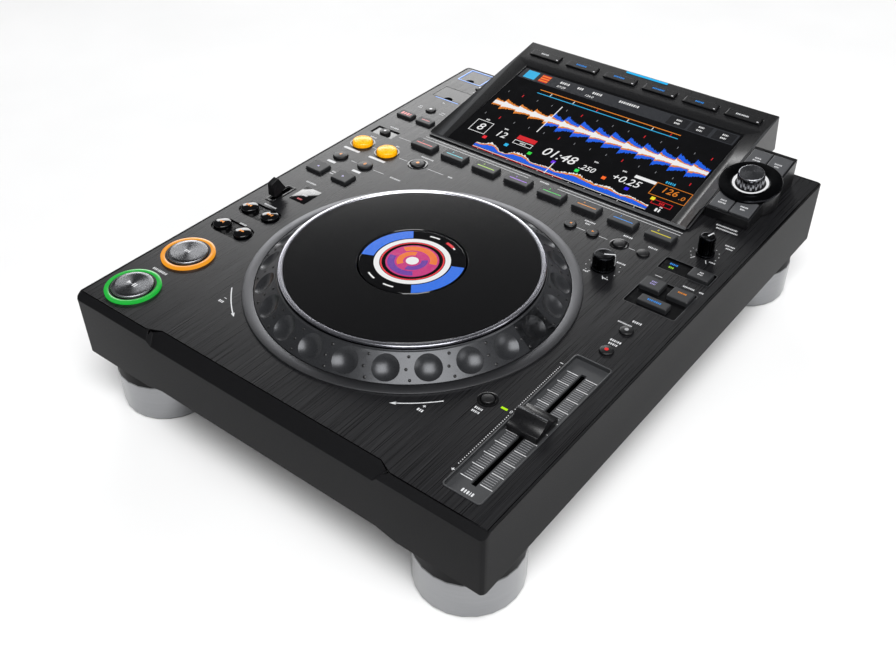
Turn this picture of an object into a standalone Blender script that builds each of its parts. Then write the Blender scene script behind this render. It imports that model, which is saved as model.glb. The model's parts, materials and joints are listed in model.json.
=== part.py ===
"""Tabletop disc player with a large jog wheel, a sloping touch screen and a full set of keys.

Metres, +Z up. The player faces -Y. The origin is on the ground under the middle of its box.
"""

import math

import bmesh
import bpy
from mathutils import Matrix, Vector

# Fits
FIT_GAP = 0.0003
CUT_OVERRUN = 0.002
JOIN_OVERLAP = 0.0005

# Casing
JOG_RING_RADIUS = 0.1107
SIDE_COLUMN_WIDTH = 0.0538
FRONT_MARGIN = 0.034
REAR_DECK_DEPTH = 0.167
CASE_HEIGHT = 0.0473
CASE_CORNER_RADIUS = 0.0035
CASE_WALL = 0.005
CASE_FLOOR = 0.0026
CASE_FRONT_LEDGE = 0.0012
CASE_WIDTH = 2 * (JOG_RING_RADIUS + SIDE_COLUMN_WIDTH)
CASE_DEPTH = FRONT_MARGIN + 2 * JOG_RING_RADIUS + REAR_DECK_DEPTH
BELLY_RISE = 0.0034
BELLY_HALF_WIDTH = 0.090
BELLY_RAMP = 0.015
SIDE_SLOPE_RUN = 0.0056
SIDE_SLOPE_DROP = 0.0036
NOSE_SLOPE_RUN = 0.010
NOSE_SLOPE_DROP = 0.0069
NOSE_HALF_WIDTH = 0.089
NOSE_RAMP = 0.010

# Feet
FOOT_RADIUS = 0.0336
FOOT_HEIGHT = 0.0391
FOOT_SLEEVE_HEIGHT = 0.0282
FOOT_STEP = 0.0005
FOOT_BEVEL = 0.0010
FOOT_SIDE_INSET = 0.0349
FOOT_FRONT_INSET = 0.0348
FOOT_REAR_INSET = 0.0325

# Top panel
PANEL_THICKNESS = 0.004
PANEL_INSET = 0.002
RECESS_DEPTH = 0.0010

# Jog wheel
JOG_RING_WIDTH = 0.0071
JOG_RING_RISE = 0.0010
JOG_GAP = 0.0006
JOG_HEIGHT = 0.0155
JOG_SKIRT = 0.005
JOG_LIP = 0.0012
JOG_CONE_TOP_RADIUS = 0.0880
JOG_CONE_HEIGHT = 0.0127
JOG_RIM_RADIUS = 0.0866
JOG_RIM_RISE = 0.0004
JOG_PLATE_RADIUS = 0.0814
JOG_WALL = 0.0030
JOG_WELL_RADIUS = 0.0356
JOG_WELL_DEPTH = 0.0105
JOG_WEB = 0.002
JOG_HUB_WALL = 0.004
JOG_HUB_DROP = 0.020
JOG_DIMPLES = 24
DIMPLE_RADIUS = 0.0120
DIMPLE_DEPTH = 0.0022
POST_RADIUS = 0.012
POST_FLANGE_RADIUS = 0.022
POST_FLANGE = 0.003
JOG_DISPLAY_SINK = 0.0003
JOG_DISPLAY_BEVEL = 0.0006

# Display
DISPLAY_SIDE_REACH = 0.0031
DISPLAY_SETBACK = 0.0478
DISPLAY_LIP_DEPTH = 0.0025
DISPLAY_LIP = 0.0012
DISPLAY_TILT = math.radians(10.72)
DISPLAY_REAR_LEAN = 0.0052
OVERHANG = 0.0306
OVERHANG_DROP = 0.0023
DISPLAY_PLUG_INSET = 0.0038
DISPLAY_PLUG_SETBACK = 0.005
DISPLAY_PLUG_DROP = 0.008
DISPLAY_SKIN = 0.0025
DISPLAY_WALL = 0.003
SCREEN_SIDE_MARGIN = 0.0142
SCREEN_REAR_MARGIN = 0.0301
SCREEN_SETBACK = 0.0025
SCREEN_DEPTH = 0.002
SCREEN_THICKNESS = 0.003
BEZEL_SIDE = 0.0125
BEZEL_REAR = 0.0068
BEZEL_FRONT = 0.0016
DISPLAY_KEYS = 6
DISPLAY_KEY_WIDTH = 0.0285
DISPLAY_KEY_LENGTH = 0.0077
DISPLAY_KEY_SIDE_MARGIN = 0.0088
DISPLAY_KEY_REAR_SETBACK = 0.0131
DISPLAY_KEY_RISE = 0.0012
DISPLAY_KEY_WEB = 0.0015
DISPLAY_KEY_WEB_MARGIN = 0.0015
DISPLAY_KEY_BEVEL = 0.0004

# Selector block beside the display
SELECTOR_GAP = 0.0006
SELECTOR_WIDTH = 0.0332
SELECTOR_FRONT = 0.0357
SELECTOR_REAR = 0.0408
SELECTOR_DECK_SHARE = 0.6587
SELECTOR_RISE = 0.0015
SELECTOR_WALL = 0.002
SELECTOR_SKIN = 0.003
SELECTOR_BULGE_RADIUS = 0.0215
SELECTOR_RING_RADIUS = 0.0224
SELECTOR_RING_THICKNESS = 0.0016
SELECTOR_RING_CLEARANCE = 0.0017
SELECTOR_RING_DISH = 0.0006
SELECTOR_STEM_WALL = 0.0017
SELECTOR_WELL_RADIUS = 0.0128
SELECTOR_WELL_FLOOR = 0.0004
SELECTOR_KNOB_RADIUS = 0.0092
SELECTOR_KNOB_SKIRT = 0.0006
SELECTOR_KNOB_HEIGHT = 0.0112
SELECTOR_KNOB_BEVEL = 0.0008
SELECTOR_PRESS = 0.0008
SHAFT_RADIUS = 0.003
SHAFT_FLANGE = 0.0015
SHAFT_REACH = 0.006
SELECTOR_KEY_WIDTH = 0.0147
SELECTOR_KEY_SPLIT = 0.0010
SELECTOR_KEY_START = 0.0172
SELECTOR_KEY_FRONT_END = 0.0335
SELECTOR_KEY_REAR_END = 0.0375
SELECTOR_KEY_RISE = 0.0010
SELECTOR_KEY_BEVEL = 0.0005

# Buttons and keys on the panel
FLANGE_WIDTH = 0.0012
FLANGE_THICKNESS = 0.0010
BUTTON_BEVEL = 0.0004
ROUND_SEGMENTS = 16
TRANSPORT_RADIUS = 0.0140
TRANSPORT_RISE = 0.0032
TRANSPORT_COLLAR_RADIUS = 0.0182
TRANSPORT_COLLAR_RISE = 0.0016
TRANSPORT_SEGMENTS = 24
SKIP_RADIUS = 0.0064
SKIP_RISE = 0.0026
PILL_LENGTH = 0.0365
PILL_WIDTH = 0.0165
LOOP_RADIUS = 0.0080
LOOP_DISH_MARGIN = 0.0008
LOOP_DOME = 0.0022
LOOP_RISE = 0.0018
BEAT_LOOP_RADIUS = 0.0059
BEAT_LOOP_RISE = 0.0020
SMALL_RADIUS = 0.0044
SMALL_RISE = 0.0016
SMALL_DISH_MARGIN = 0.0019
RELOOP_RADIUS = 0.0055
KEY_RISE = 0.0022
HOT_CUE_WIDTH = 0.0206
HOT_CUE_LENGTH = 0.0106
HOT_CUE_REACH = 0.0009
HOT_CUE_RISE = 0.003
HOT_CUES = 8
MODE_KEY_WIDTH = 0.0147
MODE_KEY_LENGTH = 0.0080
BEAT_JUMP_LENGTH = 0.0124
SYNC_KEY_LENGTH = 0.0120
KEY_SYNC_WIDTH = 0.0206
KEY_SYNC_LENGTH = 0.0076
JOG_MODE_LENGTH = 0.0110
POCKET_WIDTH = 0.022
POCKET_LENGTH = 0.0118
MODE_STRIP_WIDTH = 0.0368
MODE_STRIP_LENGTH = 0.0141
SYNC_PLATE_WIDTH = 0.0362
SYNC_PLATE_LENGTH = 0.0315
CALL_PITCH = 0.0182
CALL_WEB_WIDTH = 0.006

# Knobs on the panel
VINYL_KNOB_RADIUS = 0.0056
VINYL_KNOB_HEIGHT = 0.0140
JOG_KNOB_RADIUS = 0.0075
JOG_KNOB_HEIGHT = 0.0100
JOG_KNOB_ANGLE = math.radians(43.9)
JOG_KNOB_CLEARANCE = 0.0156
KNOB_SKIRT = 0.0008
KNOB_STEM_RADIUS = 0.003
KNOB_HOVER = 0.0006
KNOB_BEVEL = 0.0006
RESET_ANGLE = math.radians(-30.4)
RESET_CLEARANCE = 0.0128
RESET_RADIUS = 0.0040
RESET_DISH_MARGIN = 0.0019

# Direction lever
LEVER_SLOT_WIDTH = 0.0040
LEVER_SLOT_LENGTH = 0.0200
LEVER_STEM_WIDTH = 0.0030
LEVER_STEM_LENGTH = 0.0050
LEVER_HEIGHT = 0.0150
LEVER_HEAD_WIDTH = 0.0075
LEVER_HEAD_LENGTH = 0.0120
LEVER_HEAD_HEIGHT = 0.0110
LEVER_HEAD_TAPER_SHARE = 0.6
LEVER_BARREL_RADIUS = 0.0030
LEVER_BARREL_LENGTH = 0.0100
LEVER_REST = math.radians(-16)

# Tempo slider
TRACK_WIDTH = 0.0238
TRACK_LENGTH = 0.1294
TRACK_DEPTH = 0.0025
TRACK_SLOT_WIDTH = 0.0034
SLIDER_STROKE = 0.100
SLIDER_WIDTH = 0.0200
SLIDER_LENGTH = 0.0215
SLIDER_RISE = 0.0080
SLIDER_TOP_SHARE = 0.80
SLIDER_HOVER = 0.0008
SLIDER_STEM_WIDTH = 0.0024
SLIDER_STEM_LENGTH = 0.008
SLIDER_FOOT_WIDTH = 0.010
SLIDER_FOOT_HEIGHT = 0.003

# Doors and bays
DOOR_THICKNESS = 0.0016
DOOR_GAP = 0.0004
SD_WIDTH = 0.032
SD_LENGTH = 0.0188
SD_BAY_DEPTH = 0.0120
USB_WIDTH = 0.0213
USB_LENGTH = 0.0192
USB_BAY_DEPTH = 0.0160
BAY_INSET = 0.0025
BAY_WALL = 0.0015
DOOR_NOTCH_RADIUS = 0.0040

# Main board, rear sockets and power switch
BOARD_HALF_WIDTH = 0.120
BOARD_FRONT_SETBACK = 0.010
BOARD_REAR_GAP = 0.0205
BOARD_THICKNESS = 0.0016
STANDOFF_RADIUS = 0.003
STANDOFF_HEIGHT = 0.004
STANDOFF_INSET = 0.012
CHIP_SIZE = 0.028
CHIP_HEIGHT = 0.006
SOCKET_BLOCK_WIDTH = 0.112
SOCKET_BLOCK_DEPTH = 0.0150
SOCKET_BLOCK_HEIGHT = 0.0260
SOCKET_BLOCK_X = 0.062
INLET_WIDTH = 0.0270
INLET_HEIGHT = 0.0195
INLET_DEPTH = 0.0140
INLET_SHARE = 0.34
NETWORK_WIDTH = 0.0135
NETWORK_HEIGHT = 0.0115
NETWORK_SHARE = -0.36
COMPUTER_WIDTH = 0.0090
COMPUTER_HEIGHT = 0.0085
COMPUTER_SHARE = -0.06
SOCKET_DEPTH = 0.0120
JACK_RADIUS = 0.0042
JACK_LENGTH = 0.0090
JACK_PITCH = 0.0160
JACK_X = -0.020
SWITCH_WIDTH = 0.0120
SWITCH_HEIGHT = 0.0090
SWITCH_RISE = 0.0035
SWITCH_X = -0.110
SWITCH_BEVEL = 0.0004
SOCKET_Z_SHARE = 0.50

# Places worked out from the sizes above
CASE_FRONT_Y = -(CASE_DEPTH + OVERHANG) / 2
CASE_REAR_Y = CASE_FRONT_Y + CASE_DEPTH
CASE_BASE_Z = FOOT_HEIGHT + FIT_GAP
DECK_Z = CASE_BASE_Z + CASE_HEIGHT
UNDER_PANEL_Z = DECK_Z - PANEL_THICKNESS
FLOOR_Z = CASE_BASE_Z + BELLY_RISE + CASE_FLOOR
JOG_Y = CASE_FRONT_Y + FRONT_MARGIN + JOG_RING_RADIUS
REAR_DECK_Y = JOG_Y + JOG_RING_RADIUS
JOG_HOLE_RADIUS = JOG_RING_RADIUS - JOG_RING_WIDTH
JOG_RADIUS = JOG_HOLE_RADIUS - JOG_GAP
DISPLAY_WIDTH = 2 * (JOG_RING_RADIUS + DISPLAY_SIDE_REACH)
DISPLAY_FRONT_Y = REAR_DECK_Y + DISPLAY_SETBACK
DISPLAY_REAR_Y = CASE_REAR_Y + OVERHANG
SLOPE_START_Y = DISPLAY_FRONT_Y + DISPLAY_LIP_DEPTH
SLOPE_START_Z = DECK_Z + DISPLAY_LIP
SLOPE_END_Y = DISPLAY_REAR_Y - DISPLAY_REAR_LEAN
DISPLAY_SLOPE = (SLOPE_END_Y - SLOPE_START_Y) / math.cos(DISPLAY_TILT)
SCREEN_WIDTH = DISPLAY_WIDTH - 2 * SCREEN_SIDE_MARGIN
SCREEN_LENGTH = DISPLAY_SLOPE - SCREEN_SETBACK - SCREEN_REAR_MARGIN
DISPLAY_KEY_SPAN = DISPLAY_WIDTH - DISPLAY_KEY_WIDTH - 2 * DISPLAY_KEY_SIDE_MARGIN
DISPLAY_KEY_PITCH = DISPLAY_KEY_SPAN / (DISPLAY_KEYS - 1)
DISPLAY_KEY_SETBACK = DISPLAY_SLOPE - DISPLAY_KEY_REAR_SETBACK
HOT_CUE_PITCH = (DISPLAY_WIDTH + 2 * HOT_CUE_REACH - HOT_CUE_WIDTH) / (HOT_CUES - 1)
SELECTOR_X = DISPLAY_WIDTH / 2 + SELECTOR_GAP + SELECTOR_WIDTH / 2
SELECTOR_Y = REAR_DECK_Y + SELECTOR_DECK_SHARE * REAR_DECK_DEPTH
SOCKET_Z = CASE_BASE_Z + SOCKET_Z_SHARE * CASE_HEIGHT
BOARD_LOW_Z = FLOOR_Z + STANDOFF_HEIGHT + FIT_GAP
BOARD_TOP_Z = BOARD_LOW_Z + BOARD_THICKNESS

# Where things stand across a side column, from the casing's side, and along the jog wheel or rear deck
COLUMN_MIDDLE_SHARE = 0.472
RIGHT_MIDDLE_SHARE = 0.500
PLAY_SHARE = -0.0285
CUE_SHARE = 0.1825
SKIP_COLUMN_SHARES = (0.292, 0.669)
SEARCH_SHARE = 0.362
TRACK_SKIP_SHARE = 0.4815
LEVER_COLUMN_SHARE = 0.3625
LEVER_SHARE = 0.606
BEAT_JUMP_COLUMN_SHARES = (0.297, 0.771)
BEAT_JUMP_SHARE = 0.803
LOOP_COLUMN_SHARES = (0.318, 0.784)
BEAT_LOOP_SHARE = 0.9106
LOOP_DECK_SHARE = 0.035
POCKET_COLUMN_SHARE = 0.362
POCKET_DECK_SHARE = 0.181
HOT_CUE_DECK_SHARE = 0.186
MODE_COLUMN_SHARES = (0.286, 0.658)
MODE_DECK_SHARE = 0.371
TIME_DECK_SHARE = 0.489
SD_COLUMN_SHARE = 0.455
SD_DECK_SHARE = 0.690
USB_COLUMN_SHARE = 0.355
USB_DECK_SHARE = 0.916
USB_STOP_COLUMN_SHARE = 0.655
USB_STOP_DECK_SHARE = 0.825
UPPER_ROW_DECK_SHARE = 0.040
RELOOP_DISPLAY_SHARE = -0.807
DELETE_DISPLAY_SHARE = 0.755
MEMORY_DISPLAY_SHARE = 0.917
CALL_DISPLAY_SHARE = 0.486
VINYL_DECK_SHARE = 0.190
JOG_MODE_COLUMN_SHARE = 0.3216
JOG_MODE_DECK_SHARE = 0.038
SYNC_COLUMN_SHARES = (0.686, 0.314)
SYNC_SHARE = 0.904
KEY_SYNC_SHARE = 0.828
SYNC_PLATE_SHARE = 0.866
TEMPO_RANGE_SHARE = 0.6743
MASTER_TEMPO_SHARE = 0.5678
TRACK_SHARE = 0.2132

# Counts
JOG_SEGMENTS = 48
FOOT_SEGMENTS = 24
DIMPLE_SEGMENTS = 10
DIMPLE_RINGS = 7
CORNER_SEGMENTS = 3
BEVEL_SEGMENTS = 1
STEM_SEGMENTS = 12
PILL_SEGMENTS = 5

# Merge distance for points that meet
MERGE = 0.00001

FINISHES = {
    "moulded_black": ("1C1C1D", 0.42, 0.0),
    "brushed_black_aluminium": ("232426", 0.34, 0.85),
    "brushed_foot_metal": ("9A9B9D", 0.30, 1.0),
    "satin_black_plastic": ("17181A", 0.30, 0.0),
    "screen_glass": ("050608", 0.06, 0.0),
    "jog_metal": ("2B2C2E", 0.28, 0.8),
    "spun_cap_metal": ("8E9093", 0.25, 1.0),
    "black_chrome": ("3A3B3D", 0.14, 1.0),
    "soft_black_rubber": ("121213", 0.60, 0.0),
    "yellow_lens": ("F2D21A", 0.35, 0.0),
    "red_lens": ("E2263C", 0.35, 0.0),
    "circuit_green": ("1F5A38", 0.50, 0.0),
    "dark_grey_plastic": ("2E2F31", 0.45, 0.0),
}


def clear_scene():
    """Take away whatever the file opened with."""
    for obj in list(bpy.data.objects):
        bpy.data.objects.remove(obj, do_unlink=True)


def new_collection(name):
    collection = bpy.data.collections.new(name)
    bpy.context.scene.collection.children.link(collection)
    return collection


def channel(pair):
    """One sRGB hex pair as a linear value."""
    value = int(pair, 16) / 255
    return value / 12.92 if value <= 0.04045 else ((value + 0.055) / 1.055) ** 2.4


def finish(name):
    """The Principled material of that name, made on first use."""
    material = bpy.data.materials.get(name)
    if material:
        return material
    code, roughness, metallic = FINISHES[name]
    colour = [channel(code[i:i + 2]) for i in (0, 2, 4)] + [1.0]
    material = bpy.data.materials.new(name)
    material.use_nodes = True
    shader = material.node_tree.nodes["Principled BSDF"]
    shader.inputs["Base Color"].default_value = colour
    shader.inputs["Roughness"].default_value = roughness
    shader.inputs["Metallic"].default_value = metallic
    material.diffuse_color = colour
    return material


def add_object(name, mesh, look, location, parent=None):
    """A part of the player, with its origin at location."""
    obj = bpy.data.objects.new(name, mesh)
    PARTS.objects.link(obj)
    mesh.materials.clear()
    mesh.materials.append(finish(look))
    obj.location = location
    obj.parent = parent
    return obj


def add_cutter(mesh, collection, location=(0, 0, 0), parent=None):
    """A helper for a Boolean, which stays out of the render."""
    obj = bpy.data.objects.new("cutter", mesh)
    collection.objects.link(obj)
    obj.location = location
    obj.parent = parent
    obj.hide_render = True
    obj.display_type = "WIRE"
    return obj


def add_empty(name, location, rotation=(0, 0, 0)):
    empty = bpy.data.objects.new(name, None)
    PARTS.objects.link(empty)
    empty.location = location
    empty.rotation_euler = rotation
    return empty


def boolean(obj, collection, operation):
    """Join or cut an object with everything in a collection of helpers."""
    modifier = obj.modifiers.new(operation.lower(), "BOOLEAN")
    modifier.operation = operation
    modifier.operand_type = "COLLECTION"
    modifier.collection = collection
    modifier.solver = "EXACT"


def smooth(obj, degrees=30):
    obj.data.shade_smooth()
    obj.data.set_sharp_from_angle(angle=math.radians(degrees))


def to_mesh(bm, name):
    bmesh.ops.recalc_face_normals(bm, faces=bm.faces)
    mesh = bpy.data.meshes.new(name)
    bm.to_mesh(mesh)
    bm.free()
    return mesh


def box_mesh(width, length, low, high, centre=(0, 0), bevel=0.0):
    """A box from low to high in z, with the edges of its top rounded when bevel is given."""
    bm = bmesh.new()
    place = Matrix.LocRotScale(
        Vector((centre[0], centre[1], (low + high) / 2)), None, Vector((width, length, high - low))
    )
    bmesh.ops.create_cube(bm, size=1.0, matrix=place)
    if bevel:
        round_top(bm, high, bevel)
    return to_mesh(bm, "box")


def round_top(bm, high, bevel):
    edges = [e for e in bm.edges if all(abs(v.co.z - high) < MERGE for v in e.verts)]
    bmesh.ops.bevel(
        bm, geom=edges, offset=bevel, segments=BEVEL_SEGMENTS, profile=0.5, affect="EDGES", material=-1
    )


def curve_mesh(outline, thickness):
    """A flat outline as a filled 2D curve with depth, made a closed mesh about z = 0."""
    curve = bpy.data.curves.new("outline", "CURVE")
    curve.dimensions = "2D"
    curve.fill_mode = "BOTH"
    curve.extrude = thickness / 2
    spline = curve.splines.new("POLY")
    spline.points.add(len(outline) - 1)
    for point, (x, y) in zip(spline.points, outline):
        point.co = (x, y, 0, 1)
    spline.use_cyclic_u = True
    holder = bpy.data.objects.new("outline", curve)
    bpy.context.scene.collection.objects.link(holder)
    bpy.context.view_layer.update()
    graph = bpy.context.evaluated_depsgraph_get()
    mesh = bpy.data.meshes.new_from_object(holder.evaluated_get(graph))
    bpy.data.objects.remove(holder, do_unlink=True)
    bpy.data.curves.remove(curve)
    bm = bmesh.new()
    bm.from_mesh(mesh)
    bmesh.ops.remove_doubles(bm, verts=bm.verts, dist=MERGE)
    bpy.data.meshes.remove(mesh)
    return to_mesh(bm, "slab")


def slab_mesh(outline, low, high):
    """An outline in x and y, from low to high in z."""
    mesh = curve_mesh(outline, high - low)
    mesh.transform(Matrix.Translation((0, 0, (low + high) / 2)))
    return mesh


def side_profile_mesh(outline, width, centre_x=0.0):
    """An outline in y and z, that wide in x."""
    mesh = curve_mesh(outline, width)
    mesh.transform(Matrix(((0, 0, 1, centre_x), (1, 0, 0, 0), (0, 1, 0, 0), (0, 0, 0, 1))))
    return mesh


def front_profile_mesh(outline, low_y, high_y):
    """An outline in x and z, from low_y to high_y."""
    mesh = curve_mesh(outline, high_y - low_y)
    mesh.transform(Matrix(((1, 0, 0, 0), (0, 0, -1, (low_y + high_y) / 2), (0, 1, 0, 0), (0, 0, 0, 1))))
    return mesh


def rounded_outline(half_x, low_y, high_y, radius, segments=CORNER_SEGMENTS):
    """A rectangle with round corners."""
    corners = ((half_x, low_y, -90), (half_x, high_y, 0), (-half_x, high_y, 90), (-half_x, low_y, 180))
    points = []
    for x, y, start in corners:
        centre_x = x - math.copysign(radius, x)
        centre_y = y + radius if y == low_y else y - radius
        for step in range(segments + 1):
            angle = math.radians(start + 90 * step / segments)
            points.append((centre_x + radius * math.cos(angle), centre_y + radius * math.sin(angle)))
    return points


def lathe(profile, segments):
    """A profile of (radius, height), from the top down its outer side, with a Screw modifier's mesh."""
    mesh = bpy.data.meshes.new("turned")
    closed = profile[0][0] > 0
    count = len(profile)
    edges = [(i, (i + 1) % count) for i in range(count if closed else count - 1)]
    mesh.from_pydata([(radius, 0, height) for radius, height in profile], edges, [])
    holder = bpy.data.objects.new("turned", mesh)
    bpy.context.scene.collection.objects.link(holder)
    screw = holder.modifiers.new("screw", "SCREW")
    screw.axis = "Z"
    screw.steps = segments
    screw.render_steps = segments
    screw.use_merge_vertices = True
    screw.merge_threshold = MERGE
    bpy.context.view_layer.update()
    graph = bpy.context.evaluated_depsgraph_get()
    turned = bpy.data.meshes.new_from_object(holder.evaluated_get(graph))
    bpy.data.objects.remove(holder, do_unlink=True)
    bpy.data.meshes.remove(mesh)
    bm = bmesh.new()
    bm.from_mesh(turned)
    bmesh.ops.remove_doubles(bm, verts=bm.verts, dist=MERGE)
    bpy.data.meshes.remove(turned)
    return to_mesh(bm, "turned")


def cylinder_mesh(radius, low, high, segments=ROUND_SEGMENTS):
    bm = bmesh.new()
    place = Matrix.Translation((0, 0, (low + high) / 2))
    bmesh.ops.create_cone(
        bm, cap_ends=True, segments=segments, radius1=radius, radius2=radius, depth=high - low, matrix=place
    )
    return to_mesh(bm, "cylinder")


def left_x(share):
    """A place across the left column, from the casing's left side."""
    return -CASE_WIDTH / 2 + share * SIDE_COLUMN_WIDTH


def right_x(share):
    """A place across the right column, from the casing's right side."""
    return CASE_WIDTH / 2 - share * SIDE_COLUMN_WIDTH


def jog_span_y(share):
    """A place along the jog wheel, from the front of its ring."""
    return JOG_Y + (2 * share - 1) * JOG_RING_RADIUS


def deck_y(share):
    """A place along the deck behind the jog wheel."""
    return REAR_DECK_Y + share * REAR_DECK_DEPTH


def slope_z(y):
    """Height of the display's sloping top at y."""
    return SLOPE_START_Z + (y - SLOPE_START_Y) * math.tan(DISPLAY_TILT)


def foot(name, x, y):
    sleeve_top = FOOT_SLEEVE_HEIGHT
    profile = [
        (0, FOOT_HEIGHT),
        (FOOT_RADIUS - FOOT_STEP, FOOT_HEIGHT),
        (FOOT_RADIUS - FOOT_STEP, sleeve_top),
        (FOOT_RADIUS, sleeve_top - FOOT_STEP),
        (FOOT_RADIUS, FOOT_BEVEL),
        (FOOT_RADIUS - FOOT_BEVEL, 0),
        (0, 0),
    ]
    obj = add_object(name, lathe(profile, FOOT_SEGMENTS), "brushed_foot_metal", (x, y, 0))
    smooth(obj)


def feet():
    side = CASE_WIDTH / 2 - FOOT_SIDE_INSET
    front = CASE_FRONT_Y + FOOT_FRONT_INSET
    rear = CASE_REAR_Y - FOOT_REAR_INSET
    for depth, y in (("front", front), ("rear", rear)):
        for hand, x in (("left", -side), ("right", side)):
            foot(f"foot_{depth}_{hand}", x, y)


def slope_profile(run, drop):
    """The wedge cut off the casing's front edge, in y and z."""
    slope = drop / run
    return [
        (CASE_FRONT_Y - CUT_OVERRUN, DECK_Z - drop - CUT_OVERRUN * slope),
        (CASE_FRONT_Y + run + CUT_OVERRUN / slope, DECK_Z + CUT_OVERRUN),
        (CASE_FRONT_Y - CUT_OVERRUN, DECK_Z + CUT_OVERRUN),
    ]


def nose_cutter_mesh():
    """The deeper slope in the middle of the front edge, with slanting ends."""
    mesh = side_profile_mesh(slope_profile(NOSE_SLOPE_RUN, NOSE_SLOPE_DROP), 2 * NOSE_HALF_WIDTH)
    widen = (NOSE_HALF_WIDTH + NOSE_RAMP) / NOSE_HALF_WIDTH
    for vertex in mesh.vertices:
        if vertex.co.z > DECK_Z:
            vertex.co.x *= widen
    return mesh


def belly_outline():
    """The shallow hollow along the underside, in x and z."""
    slope = BELLY_RISE / BELLY_RAMP
    wide = BELLY_HALF_WIDTH + BELLY_RAMP + CUT_OVERRUN / slope
    low = CASE_BASE_Z - CUT_OVERRUN
    high = CASE_BASE_Z + BELLY_RISE
    return [(-wide, low), (wide, low), (BELLY_HALF_WIDTH, high), (-BELLY_HALF_WIDTH, high)]


def panel_outline(grow):
    """The top panel's edge, which steps back behind the deeper slope."""
    half = CASE_WIDTH / 2 - PANEL_INSET + grow
    rear = CASE_REAR_Y - PANEL_INSET + grow
    side_front = CASE_FRONT_Y + SIDE_SLOPE_RUN - grow
    nose_front = CASE_FRONT_Y + NOSE_SLOPE_RUN - grow
    ramp_end = NOSE_HALF_WIDTH + NOSE_RAMP
    return [
        (-half, side_front),
        (-ramp_end, side_front),
        (-NOSE_HALF_WIDTH, nose_front),
        (NOSE_HALF_WIDTH, nose_front),
        (ramp_end, side_front),
        (half, side_front),
        (half, rear),
        (-half, rear),
    ]


def board_corners():
    """The main board's edges: left, right, front and rear."""
    front = REAR_DECK_Y + BOARD_FRONT_SETBACK
    rear = CASE_REAR_Y - BOARD_REAR_GAP
    return -BOARD_HALF_WIDTH, BOARD_HALF_WIDTH, front, rear


def base_case():
    """Walls, floor and standoffs in one shell, open at the top."""
    outline = rounded_outline(CASE_WIDTH / 2, CASE_FRONT_Y, CASE_REAR_Y, CASE_CORNER_RADIUS)
    case = add_object("base_case", slab_mesh(outline, CASE_BASE_Z, DECK_Z), "moulded_black", (0, 0, 0))
    cuts = new_collection("case_cuts")
    rebate_low = UNDER_PANEL_Z - FIT_GAP
    add_cutter(slab_mesh(panel_outline(FIT_GAP), rebate_low, DECK_Z + CUT_OVERRUN), cuts)
    inside = rounded_outline(
        CASE_WIDTH / 2 - CASE_WALL,
        CASE_FRONT_Y + NOSE_SLOPE_RUN + CASE_FRONT_LEDGE,
        CASE_REAR_Y - CASE_WALL,
        CASE_CORNER_RADIUS,
    )
    add_cutter(slab_mesh(inside, FLOOR_Z, DECK_Z), cuts)
    side_slope = slope_profile(SIDE_SLOPE_RUN, SIDE_SLOPE_DROP)
    add_cutter(side_profile_mesh(side_slope, CASE_WIDTH + 2 * CUT_OVERRUN), cuts)
    add_cutter(nose_cutter_mesh(), cuts)
    belly = front_profile_mesh(belly_outline(), CASE_FRONT_Y - CUT_OVERRUN, CASE_REAR_Y + CUT_OVERRUN)
    add_cutter(belly, cuts)
    boolean(case, cuts, "DIFFERENCE")
    add_standoffs_and_sockets(case)


def add_standoffs_and_sockets(case):
    """Standoffs under the board, the block behind the rear sockets, and the openings in it."""
    extras = new_collection("case_extras")
    left, right, front, rear = board_corners()
    foot_z = FLOOR_Z - JOIN_OVERLAP
    for x in (left + STANDOFF_INSET, right - STANDOFF_INSET):
        for y in (front + STANDOFF_INSET, rear - STANDOFF_INSET):
            post = cylinder_mesh(STANDOFF_RADIUS, foot_z, FLOOR_Z + STANDOFF_HEIGHT, STEM_SEGMENTS)
            add_cutter(post, extras, (x, y, 0))
    block_rear = CASE_REAR_Y - CASE_WALL + JOIN_OVERLAP
    block = box_mesh(
        SOCKET_BLOCK_WIDTH,
        SOCKET_BLOCK_DEPTH,
        SOCKET_Z - SOCKET_BLOCK_HEIGHT / 2,
        SOCKET_Z + SOCKET_BLOCK_HEIGHT / 2,
        (SOCKET_BLOCK_X, block_rear - SOCKET_BLOCK_DEPTH / 2),
    )
    add_cutter(block, extras)
    for side in (-1, 1):
        jack = cylinder_mesh(JACK_RADIUS, -JOIN_OVERLAP, JACK_LENGTH, ROUND_SEGMENTS)
        jack.transform(Matrix.Rotation(math.radians(-90), 4, "X"))
        place = (JACK_X + side * JACK_PITCH / 2, CASE_REAR_Y, SOCKET_Z)
        add_cutter(jack, extras, place)
    boolean(case, extras, "UNION")
    openings = new_collection("socket_openings")
    socket(openings, INLET_SHARE, INLET_WIDTH, INLET_HEIGHT, INLET_DEPTH)
    socket(openings, NETWORK_SHARE, NETWORK_WIDTH, NETWORK_HEIGHT, SOCKET_DEPTH)
    socket(openings, COMPUTER_SHARE, COMPUTER_WIDTH, COMPUTER_HEIGHT, SOCKET_DEPTH)
    hole_depth = CASE_WALL + 2 * CUT_OVERRUN
    switch_hole = box_mesh(
        SWITCH_WIDTH + 2 * FIT_GAP,
        hole_depth,
        SOCKET_Z - SWITCH_HEIGHT / 2 - FIT_GAP,
        SOCKET_Z + SWITCH_HEIGHT / 2 + FIT_GAP,
        (SWITCH_X, CASE_REAR_Y - CASE_WALL / 2),
    )
    add_cutter(switch_hole, openings)
    boolean(case, openings, "DIFFERENCE")


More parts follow.
